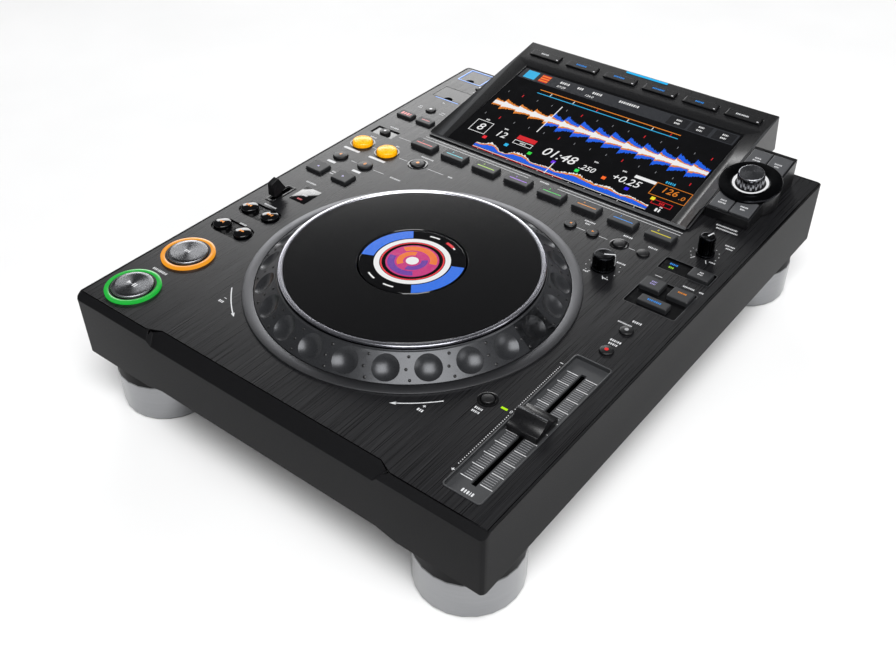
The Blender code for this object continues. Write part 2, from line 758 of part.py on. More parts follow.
def socket(collection, share, width, height, depth):
    """A blind rectangular opening in the rear wall."""
    x = SOCKET_BLOCK_X + share * SOCKET_BLOCK_WIDTH
    cut = box_mesh(
        width,
        depth + CUT_OVERRUN,
        SOCKET_Z - height / 2,
        SOCKET_Z + height / 2,
        (x, CASE_REAR_Y + (CUT_OVERRUN - depth) / 2),
    )
    add_cutter(cut, collection)


def power_switch():
    """A push switch through the rear wall, with its flange inside."""
    wall_inside = CASE_REAR_Y - CASE_WALL - FIT_GAP
    length = SWITCH_RISE + CASE_WALL + FIT_GAP
    mesh = key_mesh(SWITCH_WIDTH, SWITCH_HEIGHT, length, SWITCH_BEVEL)
    mesh.transform(Matrix.Rotation(math.radians(-90), 4, "X"))
    add_object("power_switch", mesh, "satin_black_plastic", (SWITCH_X, wall_inside, SOCKET_Z))


def main_board():
    """The circuit board on its standoffs, with its two largest chips and the slots for cards and USB."""
    left, right, front, rear = board_corners()
    mid_y = (front + rear) / 2
    board = box_mesh(right - left, rear - front, BOARD_LOW_Z, BOARD_TOP_Z, (0, mid_y))
    obj = add_object("main_board", board, "circuit_green", (0, 0, 0))
    for side in (-1, 1):
        place = (side * BOARD_HALF_WIDTH / 2, mid_y)
        chip = box_mesh(CHIP_SIZE, CHIP_SIZE, BOARD_TOP_Z - JOIN_OVERLAP, BOARD_TOP_Z + CHIP_HEIGHT, place)
        add_cutter(chip, BOARD_EXTRAS)
    boolean(obj, BOARD_EXTRAS, "UNION")
    boolean(obj, BOARD_CUTS, "DIFFERENCE")


def key_mesh(width, length, height, bevel, flange=FLANGE_WIDTH):
    """A key from z = 0 up to height, whose flange reaches out below z = 0."""
    bm = bmesh.new()
    wide = Vector((width + 2 * flange, length + 2 * flange, FLANGE_THICKNESS))
    place = Matrix.LocRotScale(Vector((0, 0, -FLANGE_THICKNESS / 2)), None, wide)
    bmesh.ops.create_cube(bm, size=1.0, matrix=place)
    bm.faces.ensure_lookup_table()
    top = max(bm.faces, key=lambda face: face.calc_center_median().z)
    bmesh.ops.inset_region(bm, faces=[top], thickness=flange, use_even_offset=True)
    lifted = bmesh.ops.extrude_face_region(bm, geom=[top])
    verts = [item for item in lifted["geom"] if isinstance(item, bmesh.types.BMVert)]
    bmesh.ops.delete(bm, geom=[top], context="FACES_ONLY")
    bmesh.ops.translate(bm, verts=verts, vec=(0, 0, height))
    round_top(bm, height, bevel)
    return to_mesh(bm, "key")


def button_profile(radius, height, bevel, dome=0.0):
    """A round button from z = 0 up to height, whose flange reaches out below z = 0."""
    middle = [(0, height + dome)]
    if dome:
        middle.append((radius / 2, height + dome * 3 / 4))
    return middle + [
        (radius - bevel, height),
        (radius, height - bevel),
        (radius, 0),
        (radius + FLANGE_WIDTH, 0),
        (radius + FLANGE_WIDTH, -FLANGE_THICKNESS),
        (0, -FLANGE_THICKNESS),
    ]


def panel_hole_round(x, y, radius, segments=ROUND_SEGMENTS):
    low = UNDER_PANEL_Z - CUT_OVERRUN
    high = DECK_Z + TRANSPORT_COLLAR_RISE + CUT_OVERRUN
    add_cutter(cylinder_mesh(radius + FIT_GAP, low, high, segments), PANEL_CUTS, (x, y, 0))


def panel_hole_square(x, y, width, length):
    low = UNDER_PANEL_Z - CUT_OVERRUN
    high = DECK_Z + CUT_OVERRUN
    add_cutter(box_mesh(width + 2 * FIT_GAP, length + 2 * FIT_GAP, low, high), PANEL_CUTS, (x, y, 0))


def round_button(name, x, y, radius, rise, look, segments=ROUND_SEGMENTS, dome=0.0):
    """A round push button in its hole, with its flange under the panel."""
    stem = PANEL_THICKNESS + FIT_GAP + rise
    mesh = lathe(button_profile(radius, stem, BUTTON_BEVEL, dome), segments)
    smooth(add_object(name, mesh, look, (x, y, UNDER_PANEL_Z - FIT_GAP)))
    panel_hole_round(x, y, radius, segments)


def square_key(name, x, y, width, length, rise, look):
    """A rectangular key in its hole, with its flange under the panel."""
    stem = PANEL_THICKNESS + FIT_GAP + rise
    mesh = key_mesh(width, length, stem, BUTTON_BEVEL)
    add_object(name, mesh, look, (x, y, UNDER_PANEL_Z - FIT_GAP))
    panel_hole_square(x, y, width, length)


def dish(x, y, radius, depth=RECESS_DEPTH, segments=ROUND_SEGMENTS):
    """A round shallow recess in the panel."""
    mesh = cylinder_mesh(radius, DECK_Z - depth, DECK_Z + CUT_OVERRUN, segments)
    add_cutter(mesh, PANEL_RECESSES, (x, y, 0))


def tray(x, y, width, length, depth=RECESS_DEPTH):
    """A rectangular shallow recess in the panel."""
    mesh = box_mesh(width, length, DECK_Z - depth, DECK_Z + CUT_OVERRUN)
    add_cutter(mesh, PANEL_RECESSES, (x, y, 0))


def pill(x, y):
    """The long round-ended recess that a pair of search buttons shares."""
    half = PILL_WIDTH / 2
    outline = rounded_outline(PILL_LENGTH / 2, -half, half, half - MERGE, PILL_SEGMENTS)
    add_cutter(slab_mesh(outline, DECK_Z - RECESS_DEPTH, DECK_Z + CUT_OVERRUN), PANEL_RECESSES, (x, y, 0))


def transport_button(name, share):
    """A large round button inside a raised collar."""
    x = left_x(COLUMN_MIDDLE_SHARE)
    y = jog_span_y(share)
    collar = cylinder_mesh(
        TRANSPORT_COLLAR_RADIUS, DECK_Z - JOIN_OVERLAP, DECK_Z + TRANSPORT_COLLAR_RISE, TRANSPORT_SEGMENTS
    )
    add_cutter(collar, PANEL_EXTRAS, (x, y, 0))
    round_button(name, x, y, TRANSPORT_RADIUS, TRANSPORT_RISE, "spun_cap_metal", TRANSPORT_SEGMENTS)


def left_column():
    """Everything down the left side, from the front to the USB stop button."""
    transport_button("play_pause_button", PLAY_SHARE)
    transport_button("cue_button", CUE_SHARE)
    ways = ("back", "forward")
    for pair, share in (("search", SEARCH_SHARE), ("track", TRACK_SKIP_SHARE)):
        y = jog_span_y(share)
        pill(left_x(sum(SKIP_COLUMN_SHARES) / 2), y)
        for way, column in zip(ways, SKIP_COLUMN_SHARES):
            name = f"{pair}_{way}_button"
            round_button(name, left_x(column), y, SKIP_RADIUS, SKIP_RISE, "soft_black_rubber")
    for way, column in zip(ways, BEAT_JUMP_COLUMN_SHARES):
        name = f"beat_jump_{way}_key"
        x = left_x(column)
        y = jog_span_y(BEAT_JUMP_SHARE)
        square_key(name, x, y, MODE_KEY_WIDTH, BEAT_JUMP_LENGTH, KEY_RISE, "soft_black_rubber")
    for count, column in zip(("four", "eight"), LOOP_COLUMN_SHARES):
        name = f"{count}_beat_loop_button"
        x = left_x(column)
        y = jog_span_y(BEAT_LOOP_SHARE)
        round_button(name, x, y, BEAT_LOOP_RADIUS, BEAT_LOOP_RISE, "soft_black_rubber")
    for end, column in zip(("in", "out"), LOOP_COLUMN_SHARES):
        x = left_x(column)
        y = deck_y(LOOP_DECK_SHARE)
        dish(x, y, LOOP_RADIUS + LOOP_DISH_MARGIN)
        round_button(f"loop_{end}_button", x, y, LOOP_RADIUS, LOOP_RISE, "yellow_lens", dome=LOOP_DOME)
    tray(left_x(POCKET_COLUMN_SHARE), deck_y(POCKET_DECK_SHARE), POCKET_WIDTH, POCKET_LENGTH)
    small_button("hot_cue_call_button", left_x(POCKET_COLUMN_SHARE), deck_y(POCKET_DECK_SHARE))
    for name, column in zip(("slip_key", "quantize_key"), MODE_COLUMN_SHARES):
        x = left_x(column)
        y = deck_y(MODE_DECK_SHARE)
        square_key(name, x, y, MODE_KEY_WIDTH, MODE_KEY_LENGTH, KEY_RISE, "soft_black_rubber")
    small_button("time_mode_button", left_x(COLUMN_MIDDLE_SHARE), deck_y(TIME_DECK_SHARE))
    small_button("usb_stop_button", left_x(USB_STOP_COLUMN_SHARE), deck_y(USB_STOP_DECK_SHARE))


def small_button(name, x, y, look="soft_black_rubber"):
    round_button(name, x, y, SMALL_RADIUS, SMALL_RISE, look)


def upper_row():
    """The buttons between the jog wheel and the display."""
    y = deck_y(UPPER_ROW_DECK_SHARE)
    half = DISPLAY_WIDTH / 2
    x = RELOOP_DISPLAY_SHARE * half
    dish(x, y, RELOOP_RADIUS + SMALL_DISH_MARGIN)
    round_button("reloop_button", x, y, RELOOP_RADIUS, SMALL_RISE, "yellow_lens")
    x = DELETE_DISPLAY_SHARE * half
    dish(x, y, SMALL_RADIUS + SMALL_DISH_MARGIN)
    small_button("delete_button", x, y)
    small_button("memory_button", MEMORY_DISPLAY_SHARE * half, y)
    call_buttons(CALL_DISPLAY_SHARE * half, y)
    for number in range(HOT_CUES):
        x = (number - (HOT_CUES - 1) / 2) * HOT_CUE_PITCH
        y = deck_y(HOT_CUE_DECK_SHARE)
        name = f"hot_cue_key_{number + 1}"
        square_key(name, x, y, HOT_CUE_WIDTH, HOT_CUE_LENGTH, HOT_CUE_RISE, "dark_grey_plastic")


def call_buttons(x, y):
    """The two call buttons, on one strip under the panel."""
    z = UNDER_PANEL_Z - FIT_GAP
    strip = box_mesh(CALL_PITCH, CALL_WEB_WIDTH, -FLANGE_THICKNESS, 0)
    obj = add_object("call_buttons", strip, "soft_black_rubber", (x, y, z))
    caps = new_collection("call_caps")
    height = PANEL_THICKNESS + FIT_GAP + SMALL_RISE
    for side in (-1, 1):
        cap = lathe(button_profile(SMALL_RADIUS, height, BUTTON_BEVEL), ROUND_SEGMENTS)
        add_cutter(cap, caps, (x + side * CALL_PITCH / 2, y, z))
        panel_hole_round(x + side * CALL_PITCH / 2, y, SMALL_RADIUS)
    boolean(obj, caps, "UNION")


def right_column():
    """Everything down the right side but the slider and the knobs."""
    x = right_x(JOG_MODE_COLUMN_SHARE)
    y = deck_y(JOG_MODE_DECK_SHARE)
    tray(right_x(RIGHT_MIDDLE_SHARE), y, MODE_STRIP_WIDTH, MODE_STRIP_LENGTH)
    square_key("jog_mode_key", x, y, MODE_KEY_WIDTH, JOG_MODE_LENGTH, KEY_RISE, "soft_black_rubber")
    tray(right_x(RIGHT_MIDDLE_SHARE), jog_span_y(SYNC_PLATE_SHARE), SYNC_PLATE_WIDTH, SYNC_PLATE_LENGTH)
    y = jog_span_y(SYNC_SHARE)
    for name, column in zip(("beat_sync_key", "master_key"), SYNC_COLUMN_SHARES):
        square_key(name, right_x(column), y, MODE_KEY_WIDTH, SYNC_KEY_LENGTH, KEY_RISE, "soft_black_rubber")
    x = right_x(RIGHT_MIDDLE_SHARE)
    y = jog_span_y(KEY_SYNC_SHARE)
    square_key("key_sync_key", x, y, KEY_SYNC_WIDTH, KEY_SYNC_LENGTH, KEY_RISE, "soft_black_rubber")
    small_button("tempo_range_button", x, jog_span_y(TEMPO_RANGE_SHARE))
    small_button("master_tempo_button", x, jog_span_y(MASTER_TEMPO_SHARE), "red_lens")
    reach = JOG_RING_RADIUS + RESET_CLEARANCE
    x = reach * math.cos(RESET_ANGLE)
    y = JOG_Y + reach * math.sin(RESET_ANGLE)
    dish(x, y, RESET_RADIUS + RESET_DISH_MARGIN)
    round_button("tempo_reset_button", x, y, RESET_RADIUS, SMALL_RISE, "soft_black_rubber")


def knob(name, x, y, radius, height):
    """A turning knob above the panel, with its stem and flange in one."""
    hover = DECK_Z + KNOB_HOVER
    seat = UNDER_PANEL_Z - FIT_GAP
    profile = [
        (0, hover + height),
        (radius - KNOB_BEVEL, hover + height),
        (radius, hover + height - KNOB_BEVEL),
        (radius + KNOB_SKIRT, hover),
        (KNOB_STEM_RADIUS, hover),
        (KNOB_STEM_RADIUS, seat),
        (KNOB_STEM_RADIUS + FLANGE_WIDTH, seat),
        (KNOB_STEM_RADIUS + FLANGE_WIDTH, seat - FLANGE_THICKNESS),
        (0, seat - FLANGE_THICKNESS),
    ]
    local = [(r, z - DECK_Z) for r, z in profile]
    smooth(add_object(name, lathe(local, ROUND_SEGMENTS), "black_chrome", (x, y, DECK_Z)))
    panel_hole_round(x, y, KNOB_STEM_RADIUS, STEM_SEGMENTS)


def knobs():
    x = right_x(RIGHT_MIDDLE_SHARE)
    knob("vinyl_speed_knob", x, deck_y(VINYL_DECK_SHARE), VINYL_KNOB_RADIUS, VINYL_KNOB_HEIGHT)
    reach = JOG_RING_RADIUS + JOG_KNOB_CLEARANCE
    x = reach * math.cos(JOG_KNOB_ANGLE)
    y = JOG_Y + reach * math.sin(JOG_KNOB_ANGLE)
    knob("jog_adjust_knob", x, y, JOG_KNOB_RADIUS, JOG_KNOB_HEIGHT)


def direction_lever():
    """A tall lever on a barrel under the panel, leaning to the front at rest."""
    x = left_x(LEVER_COLUMN_SHARE)
    y = jog_span_y(LEVER_SHARE)
    barrel_z = UNDER_PANEL_Z - FIT_GAP - LEVER_BARREL_RADIUS
    pivot = add_empty("lever_pivot", (x, y, barrel_z), (-LEVER_REST, 0, 0))
    barrel = cylinder_mesh(LEVER_BARREL_RADIUS, -LEVER_BARREL_LENGTH / 2, LEVER_BARREL_LENGTH / 2)
    barrel.transform(Matrix.Rotation(math.radians(90), 4, "Y"))
    lever = add_object("direction_lever", barrel, "satin_black_plastic", (0, 0, 0), pivot)
    upper = new_collection("lever_upper")
    top = DECK_Z + LEVER_HEIGHT - barrel_z
    add_cutter(box_mesh(LEVER_STEM_WIDTH, LEVER_STEM_LENGTH, 0, top - BUTTON_BEVEL), upper, (0, 0, 0), pivot)
    head = box_mesh(LEVER_HEAD_WIDTH, LEVER_HEAD_LENGTH, top - LEVER_HEAD_HEIGHT, top)
    for vertex in head.vertices:
        if vertex.co.z > top - LEVER_HEAD_HEIGHT / 2:
            vertex.co.x *= LEVER_HEAD_TAPER_SHARE
            vertex.co.y *= LEVER_HEAD_TAPER_SHARE
    add_cutter(head, upper, (0, 0, 0), pivot)
    boolean(lever, upper, "UNION")
    slot = box_mesh(LEVER_SLOT_WIDTH, LEVER_SLOT_LENGTH, UNDER_PANEL_Z - CUT_OVERRUN, DECK_Z + CUT_OVERRUN)
    add_cutter(slot, PANEL_CUTS, (x, y, 0))


def slider_place():
    return right_x(RIGHT_MIDDLE_SHARE), jog_span_y(TRACK_SHARE)


def tempo_track():
    """The recessed track and the slot in its floor."""
    x, y = slider_place()
    tray(x, y, TRACK_WIDTH, TRACK_LENGTH, TRACK_DEPTH)
    slot_length = SLIDER_STROKE + SLIDER_STEM_LENGTH + 2 * FIT_GAP
    slot = box_mesh(TRACK_SLOT_WIDTH, slot_length, UNDER_PANEL_Z - CUT_OVERRUN, DECK_Z)
    add_cutter(slot, PANEL_CUTS, (x, y, 0))


def tempo_slider():
    """The cap, its stem through the slot, and the foot that rides under the panel."""
    x, y = slider_place()
    low = -TRACK_DEPTH + SLIDER_HOVER
    cap = box_mesh(SLIDER_WIDTH, SLIDER_LENGTH, low, SLIDER_RISE)
    for vertex in cap.vertices:
        if vertex.co.z > 0:
            vertex.co.y *= SLIDER_TOP_SHARE
    slider = add_object("tempo_slider", cap, "satin_black_plastic", (x, y, DECK_Z))
    lower = new_collection("slider_lower")
    foot_top = -PANEL_THICKNESS - FIT_GAP
    foot_low = foot_top - SLIDER_FOOT_HEIGHT
    stem = box_mesh(SLIDER_STEM_WIDTH, SLIDER_STEM_LENGTH, foot_low + JOIN_OVERLAP, low + JOIN_OVERLAP)
    add_cutter(stem, lower, (x, y, DECK_Z))
    add_cutter(box_mesh(SLIDER_FOOT_WIDTH, SLIDER_STEM_LENGTH, foot_low, foot_top), lower, (x, y, DECK_Z))
    boolean(slider, lower, "UNION")


def bay(x, y, width, length, depth):
    """A slot that stands on the board, open at the top, and the opening over it in the panel."""
    inner_width = width - 2 * BAY_INSET
    inner_length = length - 2 * BAY_INSET
    tower = box_mesh(
        inner_width + 2 * BAY_WALL, inner_length + 2 * BAY_WALL, BOARD_LOW_Z, UNDER_PANEL_Z - FIT_GAP
    )
    add_cutter(tower, BOARD_EXTRAS, (x, y, 0))
    add_cutter(box_mesh(inner_width, inner_length, DECK_Z - depth, DECK_Z), BOARD_CUTS, (x, y, 0))
    opening = box_mesh(inner_width, inner_length, UNDER_PANEL_Z - CUT_OVERRUN, DECK_Z)
    add_cutter(opening, PANEL_CUTS, (x, y, 0))
    tray(x, y, width + 2 * DOOR_GAP, length + 2 * DOOR_GAP, DOOR_THICKNESS + FIT_GAP)


def slot_tongue(left, front, rear):
    """The board's tongue under both slots."""
    right = -BOARD_HALF_WIDTH + JOIN_OVERLAP
    middle = ((left + right) / 2, (front + rear) / 2)
    add_cutter(box_mesh(right - left, rear - front, BOARD_LOW_Z, BOARD_TOP_Z, middle), BOARD_EXTRAS)


def door(name, x, y, width, length, look):
    """A flush lid whose origin is on its hinge line, along the top of its rear edge."""
    mesh = box_mesh(width, length, -DOOR_THICKNESS, 0, (0, -length / 2))
    obj = add_object(name, mesh, look, (x, y + length / 2, DECK_Z))
    notch = new_collection(f"{name}_notch")
    cut = cylinder_mesh(DOOR_NOTCH_RADIUS, -DOOR_THICKNESS - CUT_OVERRUN, CUT_OVERRUN, ROUND_SEGMENTS)
    add_cutter(cut, notch, (x, y - length / 2, DECK_Z))
    boolean(obj, notch, "DIFFERENCE")


def doors():
    x = left_x(SD_COLUMN_SHARE)
    y = deck_y(SD_DECK_SHARE)
    slot_tongue(x - SD_WIDTH / 2, y - SD_LENGTH / 2, deck_y(USB_DECK_SHARE))
    bay(x, y, SD_WIDTH, SD_LENGTH, SD_BAY_DEPTH)
    door("sd_door", x, y, SD_WIDTH, SD_LENGTH, "satin_black_plastic")
    x = left_x(USB_COLUMN_SHARE)
    y = deck_y(USB_DECK_SHARE)
    bay(x, y, USB_WIDTH, USB_LENGTH, USB_BAY_DEPTH)
    door("usb_door", x, y, USB_WIDTH, USB_LENGTH, "satin_black_plastic")


def plug_edges():
    """Front and rear of the display's lower part, which drops into the panel."""
    return DISPLAY_FRONT_Y + DISPLAY_PLUG_SETBACK, CASE_REAR_Y - 2 * DISPLAY_WALL


def top_panel():
    """The brushed panel: its edge, the ring round the jog wheel, every hole and recess."""
    panel = add_object(
        "top_panel", slab_mesh(panel_outline(0), UNDER_PANEL_Z, DECK_Z), "brushed_black_aluminium", (0, 0, 0)
    )
    ring = cylinder_mesh(JOG_RING_RADIUS, DECK_Z - JOIN_OVERLAP, DECK_Z + JOG_RING_RISE, JOG_SEGMENTS)
    add_cutter(ring, PANEL_EXTRAS, (0, JOG_Y, 0))
    low = UNDER_PANEL_Z - CUT_OVERRUN
    wheel = cylinder_mesh(JOG_HOLE_RADIUS, low, DECK_Z + JOG_RING_RISE + CUT_OVERRUN, JOG_SEGMENTS)
    add_cutter(wheel, PANEL_CUTS, (0, JOG_Y, 0))
    front, rear = plug_edges()
    opening = box_mesh(
        DISPLAY_WIDTH - 2 * DISPLAY_PLUG_INSET + 2 * FIT_GAP,
        rear - front + 2 * FIT_GAP,
        low,
        DECK_Z + CUT_OVERRUN,
        (0, (front + rear) / 2),
    )
    add_cutter(opening, PANEL_CUTS)
    boolean(panel, PANEL_EXTRAS, "UNION")
    boolean(panel, PANEL_RECESSES, "DIFFERENCE")
    boolean(panel, PANEL_CUTS, "DIFFERENCE")


def jog_heights():
    """Heights that the wheel and the round display share, above the jog wheel's origin on the deck."""
    web_low = JOG_HEIGHT - JOG_WELL_DEPTH - JOG_WEB
    return web_low, web_low + JOG_WEB


def jog_wheel():
    """The whole wheel: dimpled cone, rim, top plate, well for the display, web and hub."""
    web_low, web_high = jog_heights()
    plate_low = JOG_HEIGHT - JOG_WALL
    cone_inner = JOG_CONE_TOP_RADIUS - JOG_WALL
    hub_radius = POST_RADIUS + FIT_GAP
    profile = [
        (JOG_WELL_RADIUS, JOG_HEIGHT),
        (JOG_PLATE_RADIUS, JOG_HEIGHT),
        (JOG_PLATE_RADIUS, JOG_HEIGHT + JOG_RIM_RISE),
        (JOG_RIM_RADIUS, JOG_HEIGHT + JOG_RIM_RISE),
        (JOG_CONE_TOP_RADIUS, JOG_CONE_HEIGHT),
        (JOG_RADIUS, JOG_LIP),
        (JOG_RADIUS, -JOG_SKIRT),
        (JOG_RADIUS - JOG_WALL, -JOG_SKIRT),
        (JOG_RADIUS - JOG_WALL, JOG_LIP - JOG_WALL),
        (cone_inner, JOG_CONE_HEIGHT - JOG_WALL),
        (JOG_WELL_RADIUS + JOG_WEB, plate_low),
        (JOG_WELL_RADIUS + JOG_WEB, web_low),
        (hub_radius + JOG_HUB_WALL, web_low),
        (hub_radius + JOG_HUB_WALL, -JOG_HUB_DROP),
        (hub_radius, -JOG_HUB_DROP),
        (hub_radius, web_high),
        (JOG_WELL_RADIUS, web_high),
    ]
    wheel = add_object("jog_wheel", lathe(profile, JOG_SEGMENTS), "jog_metal", (0, JOG_Y, DECK_Z))
    smooth(wheel)
    boolean(wheel, dimple_cutters(), "DIFFERENCE")


def dimple_cutters():
    """A ring of balls, sunk into the cone by the dimples' depth."""
    dimples = new_collection("dimple_cuts")
    run = JOG_RADIUS - JOG_CONE_TOP_RADIUS
    fall = JOG_CONE_HEIGHT - JOG_LIP
    slope = math.atan2(run, fall)
    stand = DIMPLE_RADIUS - DIMPLE_DEPTH
    middle = (JOG_RADIUS + JOG_CONE_TOP_RADIUS) / 2 + stand * math.cos(slope)
    height = DECK_Z + (JOG_CONE_HEIGHT + JOG_LIP) / 2 + stand * math.sin(slope)
    for number in range(JOG_DIMPLES):
        angle = math.tau * number / JOG_DIMPLES
        bm = bmesh.new()
        bmesh.ops.create_uvsphere(
            bm, u_segments=DIMPLE_SEGMENTS, v_segments=DIMPLE_RINGS, radius=DIMPLE_RADIUS
        )
        turn = Matrix.Rotation(angle, 4, "Z") @ Matrix.Rotation(slope, 4, "Y")
        bmesh.ops.transform(bm, matrix=turn, verts=bm.verts)
        place = (middle * math.cos(angle), JOG_Y + middle * math.sin(angle), height)
        add_cutter(to_mesh(bm, "dimple"), dimples, place)
    return dimples


def jog_display():
    """The fixed post that the wheel turns on, with the round display on top of it."""
    web_high = jog_heights()[1]
    foot_z = FLOOR_Z + FIT_GAP - DECK_Z
    head_low = web_high + FIT_GAP
    top = JOG_HEIGHT - JOG_DISPLAY_SINK
    radius = JOG_WELL_RADIUS - FIT_GAP
    profile = [
        (0, top),
        (radius - JOG_DISPLAY_BEVEL, top),
        (radius, top - JOG_DISPLAY_BEVEL),
        (radius, head_low),
        (POST_RADIUS, head_low),
        (POST_RADIUS, foot_z + POST_FLANGE),
        (POST_FLANGE_RADIUS, foot_z + POST_FLANGE),
        (POST_FLANGE_RADIUS, foot_z),
        (0, foot_z),
    ]
    smooth(add_object("jog_display", lathe(profile, FOOT_SEGMENTS), "screen_glass", (0, JOG_Y, DECK_Z)))


def housing_profile():
    """The display's cover seen from the side, in y and z."""
    rear_top = slope_z(SLOPE_END_Y)
    base = DECK_Z + FIT_GAP
    under = DECK_Z - OVERHANG_DROP
    return [
        (DISPLAY_FRONT_Y, base),
        (CASE_REAR_Y + FIT_GAP, base),
        (CASE_REAR_Y + FIT_GAP, under),
        (DISPLAY_REAR_Y, under),
        (SLOPE_END_Y, rear_top),
        (SLOPE_START_Y, SLOPE_START_Z),
        (DISPLAY_FRONT_Y, SLOPE_START_Z),
    ]


def display_housing(tilt):
    """The wedge that holds the screen and six keys, hollow and open underneath."""
    mesh = side_profile_mesh(housing_profile(), DISPLAY_WIDTH)
    housing = add_object("display_housing", mesh, "satin_black_plastic", (0, 0, 0))
    front, rear = plug_edges()
    plug_low = DECK_Z - DISPLAY_PLUG_DROP
    plug = [
        (front, plug_low),
        (rear, plug_low),
        (rear, slope_z(rear) - DISPLAY_WALL),
        (front, slope_z(front) - JOIN_OVERLAP),
    ]
    extras = new_collection("housing_extras")
    add_cutter(side_profile_mesh(plug, DISPLAY_WIDTH - 2 * DISPLAY_PLUG_INSET), extras)
    boolean(housing, extras, "UNION")
    cuts = new_collection("housing_cuts")
    add_cutter(bezel_mesh(), cuts, (0, 0, 0), tilt)
    middle = SCREEN_SETBACK + SCREEN_LENGTH / 2
    pocket_low = -(SCREEN_DEPTH + SCREEN_THICKNESS + FIT_GAP)
    pocket = box_mesh(SCREEN_WIDTH + 2 * FIT_GAP, SCREEN_LENGTH + 2 * FIT_GAP, pocket_low, 0, (0, middle))
    add_cutter(pocket, cuts, (0, 0, 0), tilt)
    for x in display_key_places():
        slot = box_mesh(
            DISPLAY_KEY_WIDTH + 2 * FIT_GAP,
            DISPLAY_KEY_LENGTH + 2 * FIT_GAP,
            -DISPLAY_SKIN - CUT_OVERRUN,
            CUT_OVERRUN,
            (x, DISPLAY_KEY_SETBACK),
        )
        add_cutter(slot, cuts, (0, 0, 0), tilt)
    for cavity in housing_cavities():
        add_cutter(cavity, cuts)
    boolean(housing, cuts, "DIFFERENCE")


def bezel_mesh():
    """The opening over the screen, which narrows from the outer face down to the glass."""
    front = SCREEN_SETBACK
    rear = SCREEN_SETBACK + SCREEN_LENGTH
    mesh = box_mesh(SCREEN_WIDTH, SCREEN_LENGTH, -SCREEN_DEPTH, SCREEN_DEPTH, (0, (front + rear) / 2))
    for vertex in mesh.vertices:
        if vertex.co.z > 0:
            vertex.co.x += math.copysign(2 * BEZEL_SIDE, vertex.co.x)
            vertex.co.y += 2 * BEZEL_REAR if vertex.co.y > front + SCREEN_LENGTH / 2 else -2 * BEZEL_FRONT
    return mesh


def housing_cavities():
    """The hollow under the screen, and the one over the overhang behind the key strip."""
    drop = DISPLAY_SKIN / math.cos(DISPLAY_TILT)
    deep = (SCREEN_DEPTH + SCREEN_THICKNESS + FIT_GAP + DISPLAY_SKIN) / math.cos(DISPLAY_TILT)
    front, rear = plug_edges()
    low = DECK_Z - DISPLAY_PLUG_DROP - CUT_OVERRUN
    inner_front = front + DISPLAY_WALL
    inner_rear = rear - DISPLAY_WALL
    lower = [
        (inner_front, low),
        (inner_rear, low),
        (inner_rear, slope_z(inner_rear) - deep),
        (inner_front, slope_z(inner_front) - deep),
    ]
    yield side_profile_mesh(lower, DISPLAY_WIDTH - 2 * DISPLAY_PLUG_INSET - 2 * DISPLAY_WALL)
    floor = DECK_Z + DISPLAY_WALL
    strip_front = inner_rear - DISPLAY_WALL
    key_front = SLOPE_START_Y + (DISPLAY_KEY_SETBACK - DISPLAY_KEY_LENGTH) * math.cos(DISPLAY_TILT)
    strip_rear = SLOPE_END_Y - DISPLAY_WALL
    upper = [
        (strip_front, floor),
        (strip_rear, floor),
        (strip_rear, slope_z(strip_rear) - drop),
        (key_front - DISPLAY_WALL, slope_z(key_front - DISPLAY_WALL) - drop),
        (key_front - DISPLAY_WALL, slope_z(key_front) - deep),
        (strip_front, slope_z(strip_front) - deep),
    ]
    yield side_profile_mesh(upper, DISPLAY_WIDTH - 2 * DISPLAY_WALL)


def display_key_places():
    return [(i - (DISPLAY_KEYS - 1) / 2) * DISPLAY_KEY_PITCH for i in range(DISPLAY_KEYS)]


def display_screen(tilt):
    """The touch screen's glass and panel in one plate."""
    middle = SCREEN_SETBACK + SCREEN_LENGTH / 2
    low = -SCREEN_DEPTH - SCREEN_THICKNESS
    mesh = box_mesh(SCREEN_WIDTH, SCREEN_LENGTH, low, -SCREEN_DEPTH, (0, middle))
    add_object("display_screen", mesh, "screen_glass", (0, 0, 0), tilt)


def display_keys(tilt):
    """Six key caps on one strip behind the display's skin."""
    under = -DISPLAY_SKIN - FIT_GAP
    width = (DISPLAY_KEYS - 1) * DISPLAY_KEY_PITCH + DISPLAY_KEY_WIDTH + 2 * DISPLAY_KEY_WEB_MARGIN
    length = DISPLAY_KEY_LENGTH + 2 * DISPLAY_KEY_WEB_MARGIN
    strip = box_mesh(width, length, -DISPLAY_KEY_WEB, 0)
    keys = add_object("display_keys", strip, "satin_black_plastic", (0, DISPLAY_KEY_SETBACK, under), tilt)
    caps = new_collection("display_key_caps")
    top = DISPLAY_KEY_RISE - under
    for x in display_key_places():
        cap = box_mesh(
            DISPLAY_KEY_WIDTH, DISPLAY_KEY_LENGTH, -DISPLAY_KEY_WEB / 2, top, (x, 0), DISPLAY_KEY_BEVEL
        )
        add_cutter(cap, caps, (0, DISPLAY_KEY_SETBACK, under), tilt)
    boolean(keys, caps, "UNION")


def display():
    tilt = add_empty("display_tilt", (0, SLOPE_START_Y, SLOPE_START_Z), (DISPLAY_TILT, 0, 0))
    display_housing(tilt)
    display_screen(tilt)
    display_keys(tilt)


def block_top_z(y):
    """Height of the selector block's sloping top at y."""
    return slope_z(y) + SELECTOR_RISE


def selector_profile(inset, low, drop):
    """The selector block seen from the side, in y and z."""
    front = SELECTOR_Y - SELECTOR_FRONT + inset
    rear = SELECTOR_Y + SELECTOR_REAR - inset
    return [(front, low), (rear, low), (rear, block_top_z(rear) - drop), (front, block_top_z(front) - drop)]


